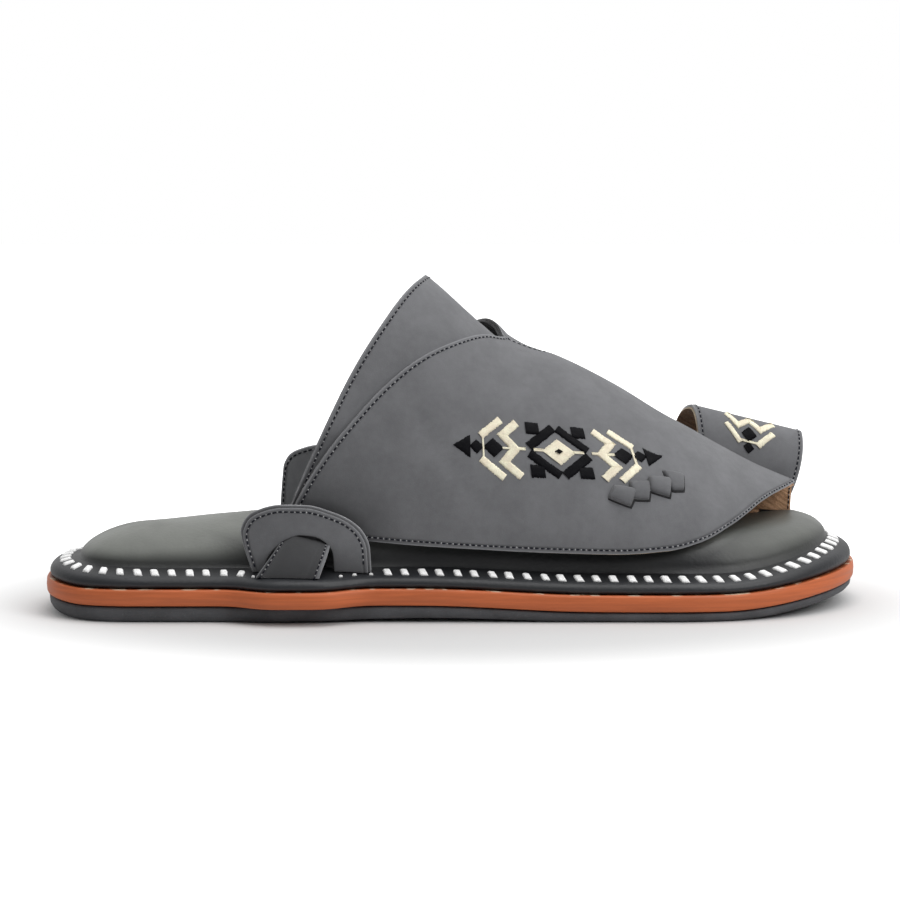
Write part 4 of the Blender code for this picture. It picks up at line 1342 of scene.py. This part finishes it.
class SANDAL_OT_thong(bpy.types.Operator):
    """Makes the lace's four pillows on the outer wing and the painted shadow of their slits behind them"""
    bl_idname = "sandal.thong"
    bl_label = "Thong"

    def execute(self, context):
        tree = piece_tree("wing_lateral")
        pillows, slits = bmesh.new(), bmesh.new()
        for pillow in THONG:
            shaped_grid(slits, SLIT_STEPS, SLIT_STEPS, self.quad_place(tree, pillow, SLIT_GROW, True))
            domed = self.quad_place(tree, pillow, PILLOW_GROW, False)
            close_underside(pillows, shaped_grid(pillows, PILLOW_STEPS, PILLOW_STEPS, domed))
        bmesh.ops.recalc_face_normals(pillows, faces=pillows.faces)
        turn_outwards(slits, THONG_HOLLOW)
        # The pillows lie past every seam and rim highlight and take an even painted shade
        for mark, value in (("rim", NO_RIM), ("rubbed", PILLOW_PAINTED_SHADE)):
            layer = pillows.verts.layers.float.new(mark)
            for vertex in pillows.verts:
                vertex[layer] = value
        add_piece("thong_lace", pillows, [bpy.data.materials["upper_nubuck_finish"]], "thong")
        dark = [bpy.data.materials["dark_slit"]]
        add_piece("thong_slits", slits, dark, wall=PATCH_WALL * MM)
        return {"FINISHED"}

    def quad_place(self, tree, pillow, grow, flat):
        """Placing function of a rounded quad on the wing: a domed pillow or the flat patch of painted shadow
        behind it, for its slit.
        """
        first, second, third, fourth = (Vector(corner) * grow for corner in pillow.corners)

        def place(s, t):
            a, b = 2.0 * s - 1.0, 2.0 * t - 1.0
            across = 0.5 + 0.5 * a * (1.0 - PILLOW_ROUND * b ** 4)
            down = 0.5 + 0.5 * b * (1.0 - PILLOW_ROUND * a ** 4)
            spot = first.lerp(second, across).lerp(fourth.lerp(third, across), down)
            if flat:
                spot += Vector(SLIT_SHADOW_SHIFT)
            on_wing, normal = side_spot(tree, pillow.x + spot.x, pillow.z + spot.y)
            if flat:
                return on_wing + normal * SLIT_RISE
            dome = max((1.0 - a ** 8) * (1.0 - b ** 8), 0.0) ** 0.35 * (1.0 - 0.12 * a * a - 0.3 * b * b)
            return on_wing + normal * (pillow.rise * dome - PILLOW_SUNK)

        return place


class SANDAL_OT_seam_stitches(bpy.types.Operator):
    """Sews the dark seams along the leather's edges"""
    bl_idname = "sandal.seam_stitches"
    bl_label = "Seam stitches"

    def execute(self, context):
        sizes, seat = context.scene.sandal_sizes, footbed_seat()
        band, columns = band_place(seat)
        tail = TAIL_COLUMNS / columns
        lateral, medial = wing_lateral_place(seat), wing_medial_place(seat)
        runs = [
            Seam("instep_band", band, "rear"),
            Seam("instep_band", band, "front", 0.0, tail),
            Seam("instep_band", band, "front", 1.0 - tail, 1.0),
            Seam("wing_lateral", lateral, "rear"),
            Seam("wing_lateral", lateral, "right", 0.02, 0.14),
            Seam("wing_lateral", lateral, "left"),
            Seam("wing_lateral", lateral, "front", 0.56, 1.0),
            Seam("wing_lateral_lining", lateral, "front", 0.62, 0.96, sizes.lining, 0.6),
            Seam("wing_medial", medial, "rear", 0.36, 1.0),
            Seam("wing_medial", medial, "right"),
        ]
        ring = ring_place(seat)
        runs += [Seam("toe_ring_leather", ring, edge, 0.03, 0.97) for edge in ("rear", "front")]
        for ear in EARS:
            for layer, through in zip(EAR_LAYERS, (0.0, sizes.ear_wall)):
                name, place = "ear_%s_%s" % (ear.side, layer.name), ear_place(ear, layer, seat)
                runs.append(Seam(name, place, "front", 0.04, 0.96, through))
        stitches, puckers = bmesh.new(), bmesh.new()
        for seam in runs:
            self.sew(stitches, puckers, piece_tree(seam.piece), self.path(seam), seam.through)
        thread = thread_material("seam_thread", context.scene.sandal_colours.seam_thread, 0.7, 0.2)
        add_piece("seam_stitches", stitches, [thread])
        # The puckers take the pale edge colour as painted highlights on the leather bulging between stitches
        add_piece("seam_puckers", puckers, [bpy.data.materials["dyed_edge"]])
        return {"FINISHED"}

    def path(self, seam):
        """Points beside one edge of a sheet, moved inwards by the seam's inset."""
        inset = seam.inset * bpy.context.scene.sandal_sizes.seam_inset / MM
        points = []
        for n in range(SEAM_STEPS + 1):
            w = seam.start + (seam.end - seam.start) * n / SEAM_STEPS
            rim, within = (
                seam.place(*{"rear": (w, depth), "front": (w, 1.0 - depth),
                             "left": (depth, w), "right": (1.0 - depth, w)}[seam.edge])
                for depth in (0.0, SEAM_NUDGE))
            points.append(rim + (within - rim).normalized() * inset)
        return points

    def sew(self, stitches, puckers, tree, points, through):
        """Adds small stitches along a path on a sheet or on its far face, with puckers between them."""
        sizes = bpy.context.scene.sandal_sizes
        dice = random.Random(SEED)
        travelled, wanted, pucker = 0.0, 0.0, False
        for a, b in zip(points, points[1:]):
            step = (b - a).length
            if travelled >= wanted and step > 0.0:
                wanted += sizes.seam_pitch / MM / 2.0
                spot, normal, _, _ = tree.find_nearest(a * MM)
                if through:
                    spot, normal = spot - normal * through, -normal
                run = (b - a).normalized()
                out = (normal - run * normal.dot(run)).normalized()
                side = out.cross(run)
                turn = Matrix((run, side, out)).transposed().to_4x4()
                body, length, width = stitches, SEAM_STITCH, 0.5
                if pucker:
                    body, length, width = puckers, SEAM_PUCKER, dice.uniform(*SEAM_PUCKER_WIDTH)
                size = Matrix.Diagonal((length * sizes.seam_pitch, width * sizes.seam_thread,
                                        sizes.seam_thread / 2.0, 1.0))
                bmesh.ops.create_uvsphere(body, u_segments=6, v_segments=4, radius=1.0,
                                          matrix=Matrix.Translation(spot) @ turn @ size)
                pucker = not pucker
            travelled += step


def diamond(a, b, half_a, half_b):
    """Corners of a diamond round a point."""
    return [(a - half_a, b), (a, b - half_b), (a + half_a, b), (a, b + half_b)]


def bar(start, end, width):
    """Corners of a straight bar between two points, in the motif's own axes."""
    run = Vector(end) - Vector(start)
    side = Vector((-run.y, run.x)).normalized() * width / 2.0
    return [tuple(Vector(start) - side), tuple(Vector(end) - side), tuple(Vector(end) + side),
            tuple(Vector(start) + side)]


def ribbon(points, width):
    """Patches along a zigzag, with mitred joints and square ends."""
    spots = [Vector(point) for point in points]
    sides = []
    for n, spot in enumerate(spots):
        before = (spot - spots[n - 1]).normalized() if n else (spots[1] - spot).normalized()
        after = (spots[n + 1] - spot).normalized() if n + 1 < len(spots) else before
        way = (before + after).normalized()
        mitre = Vector((-way.y, way.x))
        sides.append(mitre * width / 2.0 / max(mitre.dot(Vector((-after.y, after.x))), 0.4))
    return [[tuple(a - m), tuple(b - n), tuple(b + n), tuple(a + m)]
            for a, b, m, n in zip(spots, spots[1:], sides, sides[1:])]


def turned(shapes, sign):
    """Shapes, mirrored where the sign is negative."""
    return [[(sign * a, b) for a, b in shape] for shape in shapes]


def half_motif():
    """Patches of one half of the motif by thread, as four corners each in its axes (out, across)."""
    steps = [(39.5, -26.5), (55.0, -13.0), (43.0, 0.0), (55.0, 13.0), (39.5, 26.5)]
    cream = ribbon(steps, 8.0)
    cream += [bar((77.5, 10.6 * side), (56.0, 28.0 * side), 7.4) for side in (-1.0, 1.0)]
    black = [diamond(64.8, 0.0, 10.6, 9.4), diamond(81.5, 0.0, 7.2, 6.8)]
    white = [bar((75.0, -13.0), (75.0, 13.0), 2.0)]
    return {"cream": cream, "black": black, "white": white}


def wing_motif():
    """Patches of the whole motif on the outer wing."""
    patches = {"cream": [diamond(0.0, 0.0, 16.6, 13.6)], "black": [], "white": []}
    patches["eye"] = [diamond(0.0, 0.0, 3.9, 2.7)]
    for sign in (-1.0, 1.0):
        for thread, shapes in half_motif().items():
            patches[thread] += turned(shapes, sign)
        patches["black"].append([(sign * 87.8, -10.8), (sign * 104.5, -0.3), (sign * 104.5, 0.3),
                                 (sign * 87.8, 10.8)])
        patches["white"] += [bar((sign * 15.0, 0.0), (sign * 25.0, 0.0), 2.0),
                             bar((sign * 33.0, 0.0), (sign * 56.0, 0.0), 2.0)]
        for side, top, square in ((-1.0, -25.4, -22.8), (1.0, 24.0, 20.6)):
            patches["black"].append(bar((sign * 29.5, side * 3.2), (sign * 2.2, top), 9.0))
            patches["black"].append(bar((sign * 16.8, square), (sign * 30.4, square), 12.4))
    return patches


class SANDAL_OT_embroidery(bpy.types.Operator):
    """Works the geometric motif in satin stitch on the outer wing and the toe ring"""
    bl_idname = "sandal.embroidery"
    bl_label = "Embroidery"

    def execute(self, context):
        sizes, colours = context.scene.sandal_sizes, context.scene.sandal_colours
        threads = {"cream": (colours.cream_thread, 0.25), "black": (colours.black_thread, 0.1),
                   "white": (colours.cream_thread, 0.25), "eye": (colours.black_thread, 0.1)}
        works = [("wing_lateral", WING_MOTIF, wing_motif()), ("toe_ring_leather", RING_MOTIF, half_motif())]
        for thread, (colour, shine) in threads.items():
            body = bmesh.new()
            for name, motif, patches in works:
                tree = piece_tree(name)
                lift = EYE_LIFT if thread == "eye" else 0.0
                for corners in patches.get(thread, []):
                    self.work(body, tree, motif, corners, sizes.satin_rise / MM, lift)
            self.face_out(body)
            material = thread_material("embroidery_%s_thread" % thread, colour, 0.5, shine)
            add_piece("embroidery_" + thread, body, [material], wall=PATCH_WALL * MM)
        return {"FINISHED"}

    def face_out(self, body):
        """Turns the patches' faces to the outer side."""
        body.normal_update()
        turned_in = [face for face in body.faces if face.normal.y > 0.0]
        bmesh.ops.reverse_faces(body, faces=turned_in)

    def work(self, body, tree, motif, corners, rise, lift):
        """Adds one satin patch between four corners, with a ridge for each thread and uneven ends."""
        p, q, r, w = (Vector(corner) for corner in corners)
        length = max(((p + w) / 2.0 - (q + r) / 2.0).length, 1.0)
        columns = 2 * max(round(length / THREAD_PITCH), 2)
        dice = random.Random(SEED + round(1000.0 * (p.x + 3.0 * p.y)))
        uneven = min(THREAD_UNEVEN, THREAD_UNEVEN_SHARE * length)
        ends = [dice.uniform(-uneven, uneven) for _ in range(columns + 1)]

        def place(s, t):
            column = round(s * columns)
            spot = p.lerp(q, s).lerp(w.lerp(r, s), t)
            width = w.lerp(r, s) - p.lerp(q, s)
            if width.length > 3.0:
                spot = spot + width.normalized() * ends[column] * (2.0 * t - 1.0)
            out, across = spot.x - motif.start, spot.y * (1.0 - motif.taper * spot.x)
            across *= UPPER_HALF if across < 0.0 else 1.0
            x = motif.x + motif.out_x * out * (1.0 + motif.splay * across) + motif.across_x * across
            height = motif.rise + motif.out_rise * out + motif.across_rise * across
            on_sheet, normal = side_spot(tree, x, height, motif.tilt)
            dome = math.sqrt(max(1.0 - (2.0 * t - 1.0) ** 4, 0.0))
            ridge = 0.75 + 0.25 * (column % 2)
            return on_sheet + normal * (lift + rise * (0.25 + 0.75 * dome) * ridge)

        shaped_grid(body, columns, 6, place)


class SANDAL_OT_stage(bpy.types.Operator):
    """Sets the floor, the soft lights and the camera"""
    bl_idname = "sandal.stage"
    bl_label = "Stage"

    def execute(self, context):
        scene = context.scene
        body = bmesh.new()
        bmesh.ops.create_grid(body, x_segments=1, y_segments=1, size=FLOOR_SIZE)
        mesh = bpy.data.meshes.new("studio_floor")
        body.to_mesh(mesh)
        body.free()
        material, tree, shader = new_material("studio_floor")
        pale = scene.sandal_colours.floor
        grain = noise_at(tree, object_coords(tree), 40.0, 2.0)
        tree.links.new(blend_colour(tree, grain, scaled(pale, 0.99), pale), shader.inputs["Base Color"])
        seen = add_node(tree, "ShaderNodeLightPath").outputs["Is Camera Ray"]
        oval = add_node(tree, "ShaderNodeVectorMath", {0: object_coords(tree), 1: (*FLOOR_SHADE, 1.0)},
                        operation="DIVIDE").outputs["Vector"]
        away = add_node(tree, "ShaderNodeVectorMath", {0: oval}, operation="LENGTH").outputs["Value"]
        white = reckon(tree, "MULTIPLY", ramp(tree, away, FLOOR_NEAR, FLOOR_FAR), seen)
        tree.links.new(white, shader.inputs["Emission Color"])
        shader.inputs["Emission Strength"].default_value = 1.0
        shader.inputs["Roughness"].default_value = 0.9
        shader.inputs["Specular IOR Level"].default_value = 0.0
        mesh.materials.append(material)
        floor = bpy.data.objects.new("studio_floor", mesh)
        scene.collection.objects.link(floor)
        self.light_world(scene)
        for lamp in LAMPS:
            light = bpy.data.lights.new(lamp.name, "AREA")
            light.size, light.energy = lamp.size, lamp.power
            lit = bpy.data.objects.new(lamp.name, light)
            lit.location = lamp.place
            aim = Vector(LAMP_AIM) - Vector(lamp.place)
            lit.rotation_euler = aim.to_track_quat("-Z", "Y").to_euler()
            scene.collection.objects.link(lit)

        camera = bpy.data.cameras.new("photo_camera")
        camera.sensor_width, camera.lens = CAMERA_SENSOR, CAMERA_LENS
        eye = bpy.data.objects.new("photo_camera", camera)
        eye.location = CAMERA_PLACE
        eye.rotation_euler = (math.radians(90.0 - CAMERA_PITCH), 0.0, 0.0)
        scene.collection.objects.link(eye)
        scene.camera = eye
        scene.view_settings.view_transform = "Standard"
        return {"FINISHED"}

    def light_world(self, scene):
        """Soft white surround, brightest above and behind, dim on the camera's side; seen as plain white."""
        world = bpy.data.worlds.new("studio_light")
        world.use_nodes = True
        tree = world.node_tree
        coords = add_node(tree, "ShaderNodeTexCoord").outputs["Generated"]
        way = add_node(tree, "ShaderNodeSeparateXYZ", {0: coords})
        back = ramp(tree, way.outputs[1], -0.5, 0.8, SURROUND_FRONT, SURROUND_BACK)
        top = ramp(tree, way.outputs[2], 0.2, 1.0, 0.0, SURROUND_TOP)
        seen = add_node(tree, "ShaderNodeLightPath").outputs["Is Camera Ray"]
        glow = reckon(tree, "MAXIMUM", reckon(tree, "ADD", back, top), seen)
        tree.links.new(glow, tree.nodes["Background"].inputs["Strength"])
        tree.nodes["Background"].inputs["Color"].default_value = (1.0, 1.0, 1.0, 1.0)
        scene.world = world


OPERATORS = [
    SANDAL_OT_sole_layers,
    SANDAL_OT_footbed,
    SANDAL_OT_margin_stitches,
    SANDAL_OT_instep_band,
    SANDAL_OT_wings,
    SANDAL_OT_toe_ring,
    SANDAL_OT_ears,
    SANDAL_OT_thong,
    SANDAL_OT_seam_stitches,
    SANDAL_OT_embroidery,
    SANDAL_OT_stage,
]


class SANDAL_PT_panel(bpy.types.Panel):
    """Lists the sandal's steps, sizes and colours"""
    bl_idname = "SANDAL_PT_panel"
    bl_label = "Arabic sandal"
    bl_space_type = "VIEW_3D"
    bl_region_type = "UI"
    bl_category = "Sandal"

    def draw(self, context):
        for operator in OPERATORS:
            self.layout.operator(operator.bl_idname)
        for group in (context.scene.sandal_sizes, context.scene.sandal_colours):
            for name in group.__annotations__:
                self.layout.prop(group, name)


CLASSES = [SandalSizes, SandalColours, *OPERATORS, SANDAL_PT_panel]


def register():
    for item in CLASSES:
        bpy.utils.register_class(item)
    bpy.types.Scene.sandal_sizes = bpy.props.PointerProperty(type=SandalSizes)
    bpy.types.Scene.sandal_colours = bpy.props.PointerProperty(type=SandalColours)


def unregister():
    del bpy.types.Scene.sandal_sizes
    del bpy.types.Scene.sandal_colours
    for item in reversed(CLASSES):
        bpy.utils.unregister_class(item)


def main():
    register()
    bpy.ops.sandal.sole_layers()
    bpy.ops.sandal.footbed()
    bpy.ops.sandal.margin_stitches()
    bpy.ops.sandal.instep_band()
    bpy.ops.sandal.wings()
    bpy.ops.sandal.toe_ring()
    bpy.ops.sandal.ears()
    bpy.ops.sandal.thong()
    bpy.ops.sandal.seam_stitches()
    bpy.ops.sandal.embroidery()
    bpy.ops.sandal.stage()


if __name__ == "__main__":
    main()
